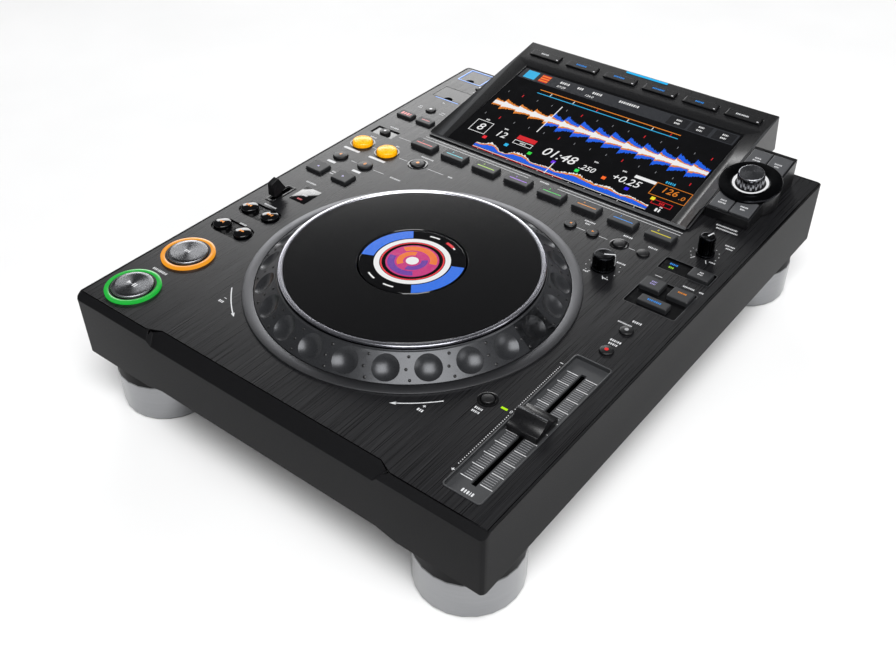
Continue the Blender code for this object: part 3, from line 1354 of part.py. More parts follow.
def selector_base(tilt):
    """The block beside the display, with the bright ring over it and the hollow below."""
    low = DECK_Z + FIT_GAP
    mesh = side_profile_mesh(selector_profile(0, low, 0), SELECTOR_WIDTH, SELECTOR_X)
    base = add_object("selector_base", mesh, "satin_black_plastic", (0, 0, 0))
    bulge = new_collection("selector_bulge")
    tall = block_top_z(SELECTOR_Y + SELECTOR_REAR)
    round_block = cylinder_mesh(SELECTOR_BULGE_RADIUS, low, tall, FOOT_SEGMENTS)
    add_cutter(round_block, bulge, (SELECTOR_X, SELECTOR_Y, 0))
    boolean(base, bulge, "UNION")
    trims = new_collection("selector_trims")
    side_x = DISPLAY_WIDTH / 2 + SELECTOR_GAP
    reach = 2 * SELECTOR_BULGE_RADIUS
    add_cutter(box_mesh(reach, reach, 0, tall + reach, (side_x - reach / 2, SELECTOR_Y)), trims)
    above = box_mesh(reach * 2, 2 * (SELECTOR_REAR + SELECTOR_FRONT), 0, reach)
    add_cutter(above, trims, (0, 0, 0), tilt)
    hollow = selector_profile(SELECTOR_WALL, DECK_Z - CUT_OVERRUN, SELECTOR_SKIN / math.cos(DISPLAY_TILT))
    add_cutter(side_profile_mesh(hollow, SELECTOR_WIDTH - 2 * SELECTOR_WALL, SELECTOR_X), trims)
    boolean(base, trims, "DIFFERENCE")
    ring = new_collection("selector_ring")
    add_cutter(lathe(selector_ring_profile(), FOOT_SEGMENTS), ring, (0, 0, 0), tilt)
    boolean(base, ring, "UNION")
    holes = new_collection("selector_holes")
    well = cylinder_mesh(SELECTOR_WELL_RADIUS, SELECTOR_WELL_FLOOR, SELECTOR_RING_RADIUS, FOOT_SEGMENTS)
    add_cutter(well, holes, (0, 0, 0), tilt)
    bore = cylinder_mesh(SHAFT_RADIUS + FIT_GAP, -2 * SELECTOR_SKIN, SELECTOR_SKIN, STEM_SEGMENTS)
    add_cutter(bore, holes, (0, 0, 0), tilt)
    for _, y, length in selector_key_rows():
        for side in (-1, 1):
            slot = box_mesh(
                SELECTOR_KEY_WIDTH + 2 * FIT_GAP,
                length + 2 * FIT_GAP,
                -2 * SELECTOR_SKIN,
                SELECTOR_RING_CLEARANCE - FIT_GAP,
                (side * selector_key_x(), y),
            )
            add_cutter(slot, holes, (0, 0, 0), tilt)
    boolean(base, holes, "DIFFERENCE")


def selector_ring_profile():
    """The ring on its stem, dished towards the knob."""
    top = SELECTOR_RING_CLEARANCE + SELECTOR_RING_THICKNESS
    return [
        (SELECTOR_WELL_RADIUS, top - SELECTOR_RING_DISH),
        (SELECTOR_RING_RADIUS - SELECTOR_RING_DISH, top),
        (SELECTOR_RING_RADIUS, top - SELECTOR_RING_DISH),
        (SELECTOR_RING_RADIUS, SELECTOR_RING_CLEARANCE),
        (SELECTOR_WELL_RADIUS + SELECTOR_STEM_WALL, SELECTOR_RING_CLEARANCE),
        (SELECTOR_WELL_RADIUS + SELECTOR_STEM_WALL, -SELECTOR_SKIN / 2),
        (SELECTOR_WELL_RADIUS, -SELECTOR_SKIN / 2),
    ]


def selector_key_x():
    return (SELECTOR_KEY_WIDTH + SELECTOR_KEY_SPLIT) / 2


def selector_key_rows():
    """Name, middle and length of the front and rear key pairs."""
    front_length = SELECTOR_KEY_FRONT_END - SELECTOR_KEY_START
    rear_length = SELECTOR_KEY_REAR_END - SELECTOR_KEY_START
    yield "front", -(SELECTOR_KEY_START + front_length / 2), front_length
    yield "rear", SELECTOR_KEY_START + rear_length / 2, rear_length


def selector_keys(tilt):
    """A pair of key caps in front of the ring and a pair behind it, each pair on one carrier."""
    under = -SELECTOR_SKIN - FIT_GAP
    top = SELECTOR_KEY_RISE - under
    for row, y, length in selector_key_rows():
        carrier = box_mesh(2 * selector_key_x() + SELECTOR_KEY_SPLIT, length, -FLANGE_THICKNESS, 0)
        obj = add_object(f"selector_keys_{row}", carrier, "dark_grey_plastic", (0, y, under), tilt)
        caps = new_collection(f"selector_caps_{row}")
        for side in (-1, 1):
            cap = box_mesh(
                SELECTOR_KEY_WIDTH,
                length,
                -FLANGE_THICKNESS / 2,
                top,
                (side * selector_key_x(), 0),
                SELECTOR_KEY_BEVEL,
            )
            add_cutter(cap, caps, (0, y, under), tilt)
        boolean(obj, caps, "UNION")


def selector_shaft(tilt):
    """The shaft that is pressed, with its flange under the block's skin."""
    under = -SELECTOR_SKIN - FIT_GAP
    profile = [
        (0, SHAFT_REACH),
        (SHAFT_RADIUS, SHAFT_REACH),
        (SHAFT_RADIUS, under),
        (SHAFT_RADIUS + FLANGE_WIDTH, under),
        (SHAFT_RADIUS + FLANGE_WIDTH, under - SHAFT_FLANGE),
        (0, under - SHAFT_FLANGE),
    ]
    smooth(add_object("selector_shaft", lathe(profile, STEM_SEGMENTS), "spun_cap_metal", (0, 0, 0), tilt))


def selector_knob(tilt):
    """The knob, which turns on the shaft."""
    low = SELECTOR_WELL_FLOOR + SELECTOR_PRESS + FIT_GAP
    high = SELECTOR_KNOB_HEIGHT
    bore_top = SHAFT_REACH + FIT_GAP
    bore = SHAFT_RADIUS + FIT_GAP
    wide = SELECTOR_KNOB_RADIUS + SELECTOR_KNOB_SKIRT
    profile = [
        (0, high),
        (SELECTOR_KNOB_RADIUS - SELECTOR_KNOB_BEVEL, high),
        (SELECTOR_KNOB_RADIUS, high - SELECTOR_KNOB_BEVEL),
        (wide, low),
        (bore, low),
        (bore, bore_top),
        (0, bore_top),
    ]
    smooth(add_object("selector_knob", lathe(profile, FOOT_SEGMENTS), "black_chrome", (0, 0, 0), tilt))


def selector():
    place = (SELECTOR_X, SELECTOR_Y, block_top_z(SELECTOR_Y))
    tilt = add_empty("selector_tilt", place, (DISPLAY_TILT, 0, 0))
    selector_base(tilt)
    selector_keys(tilt)
    selector_shaft(tilt)
    selector_knob(tilt)


clear_scene()
PARTS = new_collection("disc_player")
PANEL_EXTRAS = new_collection("panel_extras")
PANEL_RECESSES = new_collection("panel_recesses")
PANEL_CUTS = new_collection("panel_cuts")
BOARD_EXTRAS = new_collection("board_extras")
BOARD_CUTS = new_collection("board_cuts")
feet()
base_case()
power_switch()
main_board()
left_column()
upper_row()
right_column()
knobs()
direction_lever()
tempo_track()
tempo_slider()
doors()
top_panel()
jog_wheel()
jog_display()
display()
selector()
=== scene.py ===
"""Dresses the tabletop DJ CD player: finishes for its solid parts, finer pieces, legends and the studio."""
import json
import math
import random

import bmesh
import bpy
from bpy.props import FloatProperty, FloatVectorProperty, PointerProperty
from mathutils import Matrix, Vector

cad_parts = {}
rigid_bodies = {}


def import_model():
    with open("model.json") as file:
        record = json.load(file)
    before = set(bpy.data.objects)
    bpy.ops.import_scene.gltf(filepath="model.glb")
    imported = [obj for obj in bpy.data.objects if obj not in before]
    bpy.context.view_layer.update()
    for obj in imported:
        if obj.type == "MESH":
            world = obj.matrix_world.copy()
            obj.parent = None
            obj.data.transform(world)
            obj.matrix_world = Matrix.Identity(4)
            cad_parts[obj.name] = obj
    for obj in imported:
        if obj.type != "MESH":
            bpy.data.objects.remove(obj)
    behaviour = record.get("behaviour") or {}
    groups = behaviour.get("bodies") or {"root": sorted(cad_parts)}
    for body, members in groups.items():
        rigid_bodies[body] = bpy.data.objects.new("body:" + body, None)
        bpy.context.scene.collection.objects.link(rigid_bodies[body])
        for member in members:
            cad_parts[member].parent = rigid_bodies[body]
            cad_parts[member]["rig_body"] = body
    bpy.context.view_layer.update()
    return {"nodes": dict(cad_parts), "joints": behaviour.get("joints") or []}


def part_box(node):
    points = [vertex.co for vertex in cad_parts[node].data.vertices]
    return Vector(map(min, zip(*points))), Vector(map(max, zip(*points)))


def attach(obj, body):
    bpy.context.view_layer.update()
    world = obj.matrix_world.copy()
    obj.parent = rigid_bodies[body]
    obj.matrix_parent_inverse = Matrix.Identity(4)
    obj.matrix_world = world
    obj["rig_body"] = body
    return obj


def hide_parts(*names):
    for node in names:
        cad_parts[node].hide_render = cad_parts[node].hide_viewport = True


bl_info = {
    "name": "Tabletop DJ CD player",
    "version": (1, 0, 0),
    "blender": (4, 5, 0),
    "location": "View3D > Sidebar > Player",
    "description": "Builds the visible pieces and finishes of a tabletop DJ CD player",
    "category": "Object",
}

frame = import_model()

# Places on the solid model, in metres. Slide joints have no place of their own.
MM = 0.001
JOINT_PLACES = {joint["name"]: Vector(joint["pos_m"]) for joint in frame["joints"] if "pos_m" in joint}
JOG = JOINT_PLACES["jog_wheel_turn"]
DECK = JOG.z
SLOPE_FOOT = (0, 0.0792, 0.0879)
SLOPE_TILT = Matrix.Rotation(math.radians(10.72), 4, "X")
SLOPE = Matrix.Translation(SLOPE_FOOT) @ SLOPE_TILT
SELECTOR = Matrix.Translation(JOINT_PLACES["selector_knob_turn"]) @ SLOPE_TILT

# Values that the form helpers share: millimetres, steps and degrees
PRINT_DEPTH = 0.02
CIRCLE_STEPS = 96
LEAST_ROUNDED_ANGLE = 30
LEAST_SHARP_ANGLE = 24


# Colour and node helpers
def linear(code):
    """The linear colour of an sRGB hex value."""
    channels = [int(code[start:start + 2], 16) / 255 for start in (1, 3, 5)]
    return [c / 12.92 if c <= 0.04045 else ((c + 0.055) / 1.055) ** 2.4 for c in channels]


def add_node(tree, kind, inputs=None, **settings):
    """Adds a node with its settings, and sets or links its inputs."""
    new = tree.nodes.new(kind)
    for key, value in settings.items():
        setattr(new, key, value)
    for key, value in (inputs or {}).items():
        if isinstance(value, bpy.types.NodeSocket):
            tree.links.new(value, new.inputs[key])
        else:
            new.inputs[key].default_value = value
    return new


def finish(name, two_tones, roughness, grain_mm, relief_mm=0.0, centre=(0, 0, 0), rings_mm=None,
           sockets=None):
    """A material whose tone, roughness and relief follow one pattern on Object coordinates.

    two_tones and roughness are pairs, for the low and the high places of the pattern. grain_mm is
    the grain size along x, y and z. rings_mm gives concentric rings of that spacing round centre
    instead of grain. sockets are constants set straight on the shader."""
    material = bpy.data.materials.new(name)
    material.use_nodes = True
    tree = material.node_tree
    tree.nodes.clear()
    place = add_node(tree, "ShaderNodeTexCoord").outputs["Object"]
    if rings_mm:
        shift = [-value for value in centre]
        moved = add_node(tree, "ShaderNodeMapping", {"Vector": place, "Location": shift})
        pattern = add_node(
            tree, "ShaderNodeTexWave",
            {"Vector": moved.outputs["Vector"], "Scale": math.pi / (10 * rings_mm * MM)},
            wave_type="RINGS", rings_direction="Z",
        )
        low, high = 0.0, 1.0
    else:
        grains_per_metre = [1000 / size for size in grain_mm]
        scaled = add_node(tree, "ShaderNodeMapping", {"Vector": place, "Scale": grains_per_metre})
        pattern = add_node(
            tree, "ShaderNodeTexNoise",
            {"Vector": scaled.outputs["Vector"], "Scale": 1.0, "Detail": 3.0, "Roughness": 0.6},
        )
        # Noise seldom leaves this span
        low, high = 0.3, 0.7
    amount = pattern.outputs["Fac"]
    span = {"Value": amount, "From Min": low, "From Max": high}
    spread = add_node(tree, "ShaderNodeMapRange", span)
    gloss = add_node(tree, "ShaderNodeMapRange", {**span, "To Min": roughness[0], "To Max": roughness[1]})
    # A colour mix takes its share at input 0 and its colours at 6 and 7, and gives output 2
    tone = add_node(
        tree, "ShaderNodeMix",
        {0: spread.outputs["Result"], 6: (*two_tones[0], 1), 7: (*two_tones[1], 1)},
        data_type="RGBA",
    )
    links = {"Base Color": tone.outputs[2], "Roughness": gloss.outputs["Result"]}
    if relief_mm:
        relief = add_node(tree, "ShaderNodeBump", {"Height": amount, "Distance": relief_mm * MM})
        links["Normal"] = relief.outputs["Normal"]
    shader = add_node(tree, "ShaderNodeBsdfPrincipled", {**links, **(sockets or {})})
    add_node(tree, "ShaderNodeOutputMaterial", {"Surface": shader.outputs["BSDF"]})
    return material


def tones(*codes):
    """Linear colours of several hex values."""
    return [linear(code) for code in codes]


# Finishes. Each is named for the real one.
def moulded_abs():
    """Injection-moulded ABS with a spark-eroded grain: soft, even, nearly black walls."""
    return finish(
        "moulded_abs_black", tones("#0A0A0B", "#111113"), (0.45, 0.60), (0.55, 0.55, 0.55), 0.010,
        sockets={"IOR": 1.5, "Specular IOR Level": 0.12},
    )


def brushed_anodised():
    """Black anodised aluminium brushed from front to rear: long fine streaks, duller where they are deep.
    Real brush lines are about 0.05 mm wide. They are drawn 0.45 mm wide so that they show."""
    return finish(
        "brushed_anodised_aluminium", tones("#050506", "#202022"), (0.24, 0.38), (0.45, 60.0, 3.0), 0.014,
        sockets={"Specular IOR Level": 0.3},
    )


def satin_abs():
    """Moulded ABS with a satin tool finish, a little glossier than the walls."""
    return finish(
        "satin_abs_black", tones("#0B0B0C", "#131315"), (0.26, 0.38), (0.8, 0.8, 0.8), 0.006,
        sockets={"IOR": 1.5, "Specular IOR Level": 0.4},
    )


def bezel_abs():
    """Painted bezel of the display: satin charcoal, lighter than the housing. On the frames round the
    slider's tray and the key plates the same light charcoal is painted highlight along their edges.
    """
    return finish("charcoal_bezel_paint_and_edge_highlight", tones("#2E2F31", "#3A3B3D"), (0.3, 0.42), (0.6, 0.6, 0.6), 0.004)


def gloss_acrylic():
    """Polished black acrylic sheet over the screens: deep, with a clear reflection."""
    return finish(
        "polished_acrylic_black", tones("#020203", "#060608"), (0.05, 0.09), (9.0, 9.0, 9.0),
        sockets={"IOR": 1.49},
    )


def pocket_acrylic():
    """Gloss black moulded pockets round the small buttons."""
    return finish("gloss_pocket_black", tones("#040405", "#0A0A0B"), (0.10, 0.18), (4.0, 4.0, 4.0))


def foot_metal():
    """Aluminium sleeve turned on a lathe: fine lines run round it and stretch the highlights upright."""
    return finish(
        "turned_aluminium_sleeve", tones("#8E8F91", "#9A9B9D"), (0.16, 0.22), (60.0, 60.0, 0.25), 0.001,
        sockets={"Metallic": 1.0, "Anisotropic": 0.75},
    )


def trim_metal():
    """Bead-blasted, grey anodised aluminium of the ring round the jog wheel."""
    return finish(
        "blasted_aluminium_ring", tones("#5C5D5F", "#69696C"), (0.36, 0.44), (0.4, 0.4, 0.4), 0.003,
        sockets={"Metallic": 1.0},
    )


def jog_metal():
    """Dark satin paint on the dimpled ring: smooth bowls with broad soft highlights."""
    return finish(
        "satin_painted_ring", tones("#303133", "#3A3B3E"), (0.26, 0.34), (0.5, 0.5, 0.5), 0.003,
        sockets={"Metallic": 0.55},
    )


def rim_metal():
    """Diamond-cut aluminium rim of the jog wheel: bright, with fine lines round it."""
    return finish(
        "diamond_cut_rim", tones("#9A9AA2", "#BDBDC4"), (0.18, 0.24), (0, 0, 0), 0.001, JOG, 0.9,
        sockets={"Metallic": 1.0, "Anisotropic": 0.5},
    )


def grooved_plate():
    """Gloss black jog plate with concentric grooves. Real ones are 0.3 mm apart, drawn at 1.1 mm."""
    return finish(
        "grooved_gloss_plate", tones("#030304", "#0B0B0C"), (0.09, 0.15), (0, 0, 0), 0.002, JOG, 1.1,
        sockets={"IOR": 1.49},
    )


def spun_metal():
    """Aluminium cap faced on a lathe: lines round the centre give bright and dark wedges."""
    return finish(
        "spun_aluminium_cap", tones("#76777A", "#7C7D80"), (0.26, 0.28), (6.0, 6.0, 6.0),
        sockets={"Metallic": 1.0, "Anisotropic": 0.92},
    )


def black_chrome():
    """Black chrome plating: dark mirror with faint spinning lines."""
    return finish(
        "black_chrome_plating", tones("#1D1E20", "#2A2B2E"), (0.14, 0.24), (0.5, 0.5, 0.5),
        sockets={"Metallic": 1.0, "Anisotropic": 0.7},
    )


def satin_chrome():
    """Satin chrome plating of the selector knob: paler, with clear highlights between its flutes."""
    return finish(
        "satin_chrome_plating", tones("#7C7D80", "#A3A4A8"), (0.16, 0.26), (0.5, 0.5, 0.5),
        sockets={"Metallic": 1.0, "Anisotropic": 0.6},
    )


def silicone():
    """Silicone rubber caps: soft sheen, darkest of the blacks."""
    return finish(
        "silicone_rubber_black", tones("#0A0A0B", "#121214"), (0.30, 0.44), (0.7, 0.7, 0.7), 0.004,
        sockets={"IOR": 1.43},
    )


def key_plastic():
    """Dark grey rubberised keys: dull tops and soft edges."""
    return finish("rubberised_key_grey", tones("#1E1F21", "#28292B"), (0.42, 0.55), (0.6, 0.6, 0.6), 0.006)


def pale_key_plastic():
    """Mid grey painted keys of the selector."""
    return finish("painted_key_grey", tones("#3E3F41", "#4A4B4E"), (0.38, 0.5), (0.6, 0.6, 0.6), 0.006)


def circuit_laminate():
    """Glass-epoxy board with green solder mask."""
    return finish("solder_mask_green", tones("#0C3A1E", "#145030"), (0.3, 0.45), (1.2, 1.2, 1.2))


def plated_steel():
    """Nickel-plated steel of the line across the slider's cap."""
    return finish(
        "nickel_plated_steel", tones("#96979A", "#B4B5B8"), (0.22, 0.34), (0.5, 0.5, 0.5),
        sockets={"Metallic": 1.0},
    )


def tray_grey():
    """Dull grey painted floor of the slider's tray."""
    return finish("painted_tray_grey", tones("#2B2C2E", "#363739"), (0.5, 0.62), (0.7, 0.7, 0.7), 0.004)


def legend_ink():
    """White screen-printing ink: nearly flat, slightly broken along the brush lines."""
    return finish("printing_ink_white", tones("#BFC0C2", "#DADBDD"), (0.5, 0.62), (0.5, 6.0, 0.5))


def thin_ink():
    """Grey screen-printing ink for fine lines."""
    return finish("printing_ink_grey", tones("#7F8083", "#97989B"), (0.5, 0.62), (0.5, 6.0, 0.5))


def lit(name, code, strength, body_code="#0E0E10"):
    """Translucent print or lens with a lamp behind it: its own light over a dark satin body."""
    colour = linear(code)
    return finish(
        name, tones(body_code, body_code), (0.16, 0.26), (2.0, 2.0, 2.0),
        sockets={"Emission Color": (*colour, 1), "Emission Strength": strength},
    )


def lens(name, low, high, glow):
    """Tinted moulded lens, lit from below, so that its colour stays full in shade."""
    return finish(
        name, tones(low, high), (0.22, 0.34), (1.5, 1.5, 1.5), 0.004,
        sockets={"Emission Color": (*linear(high), 1), "Emission Strength": glow, "IOR": 1.46},
    )


MADE_LOOKS = {}
MARK_COLOURS = {
    "orange": "#FF9A1A", "lavender": "#B9AEEB", "red": "#D83038", "blue": "#2E9BFF", "white": "#E6E6E8",
    "green": "#A8E81E",
}


def look(maker, *details):
    """A finish that is made once and then shared."""
    key = (maker.__name__, *details)
    if key not in MADE_LOOKS:
        MADE_LOOKS[key] = maker(*details)
    return MADE_LOOKS[key]


def mark_light(colour, strength=0.8):
    """The lit print of a small mark."""
    return look(lit, colour + "_mark_light", MARK_COLOURS[colour], strength)


# Form helpers. Sizes are in millimetres, and a form is made round its own origin.
def rounded(width, length, radius=0.0, centre=(0.0, 0.0), steps=5):
    """Outline of a rectangle with rounded corners."""
    radius = min(radius, width / 2 - 0.001, length / 2 - 0.001)
    if radius <= 0:
        return [(centre[0] + sx * width / 2, centre[1] + sy * length / 2)
                for sx, sy in ((-1, -1), (1, -1), (1, 1), (-1, 1))]
    points = []
    for quarter, (sx, sy) in enumerate(((1, 1), (-1, 1), (-1, -1), (1, -1))):
        for step in range(steps + 1):
            angle = math.radians(90 * (quarter + step / steps))
            points.append((
                centre[0] + sx * (width / 2 - radius) + radius * math.cos(angle),
                centre[1] + sy * (length / 2 - radius) + radius * math.sin(angle),
            ))
    return points


def circle(radius, centre=(0.0, 0.0), steps=32):
    """Outline of a circle."""
    return arc_points(radius, 0, 360 - 360 / steps, centre, steps - 1)


def arc_points(radius, start, end, centre=(0.0, 0.0), steps=24):
    """Points on an arc, with its angles in degrees."""
    angles = [math.radians(start + (end - start) * step / steps) for step in range(steps + 1)]
    return [(centre[0] + radius * math.cos(angle), centre[1] + radius * math.sin(angle))
            for angle in angles]


def band(inner, outer, start, end, centre=(0.0, 0.0), steps=24):
    """Outline of a part of a ring."""
    return arc_points(outer, start, end, centre, steps) + arc_points(inner, end, start, centre, steps)


def turned(points, degrees, centre=(0.0, 0.0)):
    """An outline turned about its own origin and then moved."""
    cosine, sine = math.cos(math.radians(degrees)), math.sin(math.radians(degrees))
    return [(centre[0] + x * cosine - y * sine, centre[1] + x * sine + y * cosine) for x, y in points]


def thickened(form, faces, move):
    """Gives faces a thickness along a move, and returns the points that moved."""
    grown = bmesh.ops.extrude_face_region(form, geom=faces, use_keep_orig=True)["geom"]
    points = [item for item in grown if isinstance(item, bmesh.types.BMVert)]
    bmesh.ops.translate(form, verts=points, vec=move)
    return points


def add_plate(form, outline, low, high, look_index=0):
    """A flat outline raised from one height to another."""
    base = form.faces.new([form.verts.new((x, y, low)) for x, y in outline])
    raised = thickened(form, [base], (0, 0, high - low))
    for vert in raised + list(base.verts):
        for face in vert.link_faces:
            face.material_index = look_index


def add_frame(form, outer, inner, low, high, look_index=0):
    """A raised border between two outlines of as many points."""
    rings = []
    for outline in (outer, inner):
        corners = [form.verts.new((x, y, low)) for x, y in outline]
        rings.append([form.edges.new((a, b)) for a, b in zip(corners, corners[1:] + corners[:1])])
    faces = bmesh.ops.bridge_loops(form, edges=rings[0] + rings[1])["faces"]
    for vert in thickened(form, faces, (0, 0, high - low)):
        for face in vert.link_faces:
            face.material_index = look_index
    for face in faces:
        face.material_index = look_index


def add_border(form, centre, outer, inner, low, high):
    """A raised rounded frame. outer and inner are width, length and corner radius."""
    add_frame(form, rounded(*outer, centre), rounded(*inner, centre), low, high)


def add_lathe(form, profile, centre=(0.0, 0.0), steps=CIRCLE_STEPS, look_index=0):
    """A profile of radii and heights spun once round an upright axis."""
    before = set(form.faces)
    corners = [form.verts.new((centre[0] + radius, centre[1], height)) for radius, height in profile]
    edges = [form.edges.new((a, b)) for a, b in zip(corners, corners[1:])]
    bmesh.ops.spin(form, geom=corners + edges, cent=(*centre, 0), axis=(0, 0, 1),
                   angle=math.tau, steps=steps, use_merge=True)
    for face in form.faces:
        if face not in before:
            face.material_index = look_index


def add_ring(form, inner, outer, low, high, edge=0.2, centre=(0.0, 0.0), steps=CIRCLE_STEPS):
    """A flat ring with eased upper edges."""
    profile = [
        (inner, low), (inner, high - edge), (inner + edge * 0.3, high - edge * 0.3), (inner + edge, high),
        (outer - edge, high), (outer - edge * 0.3, high - edge * 0.3), (outer, high - edge), (outer, low),
        (inner, low),
    ]
    add_lathe(form, profile, centre, steps)


def add_cap(form, radius, low, high, edge, dome=0.0, centre=(0.0, 0.0), steps=CIRCLE_STEPS):
    """A round button with an eased edge and, where dome is more than 0, a swelling top."""
    top_steps = 6
    profile = [(0.0, high + dome)]
    for step in range(1, top_steps + 1):
        share = step / top_steps
        profile.append(((radius - edge) * share, high + dome * math.cos(share * math.pi / 2)))
    for degrees in (30, 60, 90):
        turn = math.radians(degrees)
        profile.append((radius - edge + edge * math.sin(turn), high - edge + edge * math.cos(turn)))
    add_lathe(form, profile + [(radius, low), (0.0, low)], centre, steps)


def bevelled(form, width, segments=2, least_angle=25):
    """Rounds every edge that is sharper than the angle."""
    form.normal_update()
    sharp = [edge for edge in form.edges
             if len(edge.link_faces) == 2 and edge.calc_face_angle(0) > math.radians(least_angle)]
    bmesh.ops.bevel(form, geom=sharp, offset=width, offset_type="OFFSET", affect="EDGES",
                    segments=segments, profile=0.5, material=-1, clamp_overlap=True)


def join(form, other):
    """Adds another form's faces to a form."""
    carrier = bpy.data.meshes.new("carrier")
    other.to_mesh(carrier)
    other.free()
    form.from_mesh(carrier)
    bpy.data.meshes.remove(carrier)


def add_digits(form, text, centre, height, low, high, look_index=0, lean=0.0):
    """Plain figures, centred on a place, as raised print."""
    curve = bpy.data.curves.new("figures", "FONT")
    curve.body = text
    curve.align_x = "CENTER"
    curve.align_y = "CENTER"
    # A figure stands about 1/1.4 of the type size high
    curve.size = height * 1.4
    curve.shear = lean
    curve.resolution_u = 3
    writing = bpy.data.objects.new("figures", curve)
    bpy.context.scene.collection.objects.link(writing)
    shape = bmesh.new()
    shape.from_mesh(writing.to_mesh())
    writing.to_mesh_clear()
    bmesh.ops.remove_doubles(shape, verts=shape.verts, dist=1e-4)
    thickened(shape, shape.faces[:], (0, 0, high - low))
    bmesh.ops.translate(shape, verts=shape.verts, vec=(*centre, low))
    for face in shape.faces:
        face.material_index = look_index
    join(form, shape)
    bpy.data.objects.remove(writing)
    bpy.data.curves.remove(curve)


def add_word(form, centre, letters, height, low, high, look_index=0):
    """A word's place on a legend: a row of plain letter-sized bars."""
    width_shares = (0.44, 0.34, 0.40, 0.20, 0.38)
    widths = [height * width_shares[index % len(width_shares)] for index in range(letters)]
    gap = height * 0.28
    start = -(sum(widths) + gap * (letters - 1)) / 2
    for width in widths:
        bar = rounded(width, height, height * 0.12, (start + width / 2, 0), 1)
        add_plate(form, [(centre[0] + x, centre[1] + y) for x, y in bar], low, high, look_index)
        start += width + gap


def put(name, form, looks, body="base", replaces=(), matrix=None, smooth=35):
    """Makes a finished form, drawn in millimetres, into a piece that rides on a body of the frame."""
    bmesh.ops.remove_doubles(form, verts=form.verts, dist=1e-5)
    bmesh.ops.recalc_face_normals(form, faces=form.faces)
    place = (matrix or Matrix.Translation((0, 0, DECK))) @ Matrix.Scale(MM, 4)
    bmesh.ops.transform(form, matrix=place, verts=form.verts)
    make_piece(name, form, looks, body, replaces, smooth)


def make_piece(name, form, looks, body, replaces, smooth):
    """Turns a form in metres into an object with its finishes."""
    mesh = bpy.data.meshes.new(name)
    form.to_mesh(mesh)
    form.free()
    # Normals stored with a solid part don't fit the merged copy of it
    stored = mesh.attributes.get("custom_normal")
    if stored:
        mesh.attributes.remove(stored)
    for material in looks:
        mesh.materials.append(material)
    mesh.shade_smooth()
    mesh.set_sharp_from_angle(angle=math.radians(smooth))
    piece = bpy.data.objects.new(name, mesh)
    bpy.context.scene.collection.objects.link(piece)
    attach(piece, body)
    if replaces:
        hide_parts(*replaces)
    return piece


def soften(node, looks, pick=None, edge_mm=0.35, segments=2):
    """Stands a merged copy with rounded edges for a solid part. pick chooses each face's finish."""
    source = frame["nodes"][node]
    form = bmesh.new()
    form.from_mesh(source.data)
    bmesh.ops.remove_doubles(form, verts=form.verts, dist=1e-6)
    for face in form.faces:
        face.material_index = pick(face.calc_center_median() / MM, face.normal) if pick else 0
    piece = make_piece(node + "_finish", form, looks, source["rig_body"], (node,), LEAST_SHARP_ANGLE)
    if edge_mm:
        rounding = piece.modifiers.new("edge", "BEVEL")
        rounding.width = edge_mm * MM
        rounding.segments = segments
        rounding.limit_method = "ANGLE"
        rounding.angle_limit = math.radians(LEAST_ROUNDED_ANGLE)
        rounding.use_clamp_overlap = False
        rounding.harden_normals = True


def centre_of(node):
    """Middle of a part in x and y, half its width, and its top over the deck, in millimetres."""
    low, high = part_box(node)
    middle = ((low.x + high.x) / 2 / MM, (low.y + high.y) / 2 / MM)
    return middle, (high.x - low.x) / 2 / MM, (high.z - DECK) / MM


# Places on the deck in millimetres: across and deep from the player's middle, high from the deck
PLAY_PLACE, CUE_PLACE = centre_of("play_pause_button")[0], centre_of("cue_button")[0]
FLANGE = 1.2
FLANGE_LOW, FLANGE_TOP = -5.3, -1.2
TRACK_CENTRE = (137.6, -145.3)
TRACK_FLOOR = -2.5
HOT_CUE_COLOURS = ("#FF3B30", "#19D3E6", "#B7F000", "#B06CFF", "#2BE04A", "#FF9F1C", "#2E9BFF", "#F2E31B")

# The dimpled cone of the jog wheel. Its ends are radii and heights.
CONE_LOW, CONE_TOP = (103.0, 1.2), (88.0, 12.7)
CONE_LENGTH = math.dist(CONE_LOW, CONE_TOP)
CONE_SLOPE = math.atan2(CONE_TOP[1] - CONE_LOW[1], CONE_LOW[0] - CONE_TOP[0])
DIMPLES = 24
DIMPLE_RADIUS = 8.4
DIMPLE_DEPTH = 2.6
DIMPLE_BALL = (DIMPLE_RADIUS ** 2 + DIMPLE_DEPTH ** 2) / (2 * DIMPLE_DEPTH)
DIMPLE_EDGE = 0.22
BOWL_RINGS = 8
CELL_STEPS = 8
CELL_WIDTH = math.tau * (CONE_LOW[0] + CONE_TOP[0]) / 2 / DIMPLES


class PlayerSizes(bpy.types.PropertyGroup):
    """Sizes of the finer pieces."""
    edge_radius: FloatProperty(
        name="Edge radius", description="Rounding of the moulded edges",
        default=0.00045, min=0.0, max=0.001, unit="LENGTH", precision=5)
    light_ring_width: FloatProperty(
        name="Light ring width", description="Width of the lit rings round the two large buttons",
        default=0.0030, min=0.001, max=0.0035, unit="LENGTH", precision=4)
    legend_height: FloatProperty(
        name="Legend height", description="Height of the printed legends",
        default=0.0016, min=0.0008, max=0.003, unit="LENGTH", precision=4)
    stud_radius: FloatProperty(
        name="Stud radius", description="Radius of the small studs between the finger dimples",
        default=0.0010, min=0.0005, max=0.0015, unit="LENGTH", precision=4)
    flute_depth: FloatProperty(
        name="Flute depth", description="Depth of the grooves round the knobs",
        default=0.0007, min=0.0003, max=0.0012, unit="LENGTH", precision=4)
    floor_radius: FloatProperty(
        name="Floor radius", description="Radius of the studio floor before it curves up",
        default=2.6, min=1.0, max=6.0, unit="LENGTH")


def colour_property(label, description, code):
    """A colour that the user can change, given as an sRGB hex value."""
    return FloatVectorProperty(name=label, description=description, default=linear(code),
                               subtype="COLOR", size=3, min=0.0, max=1.0)


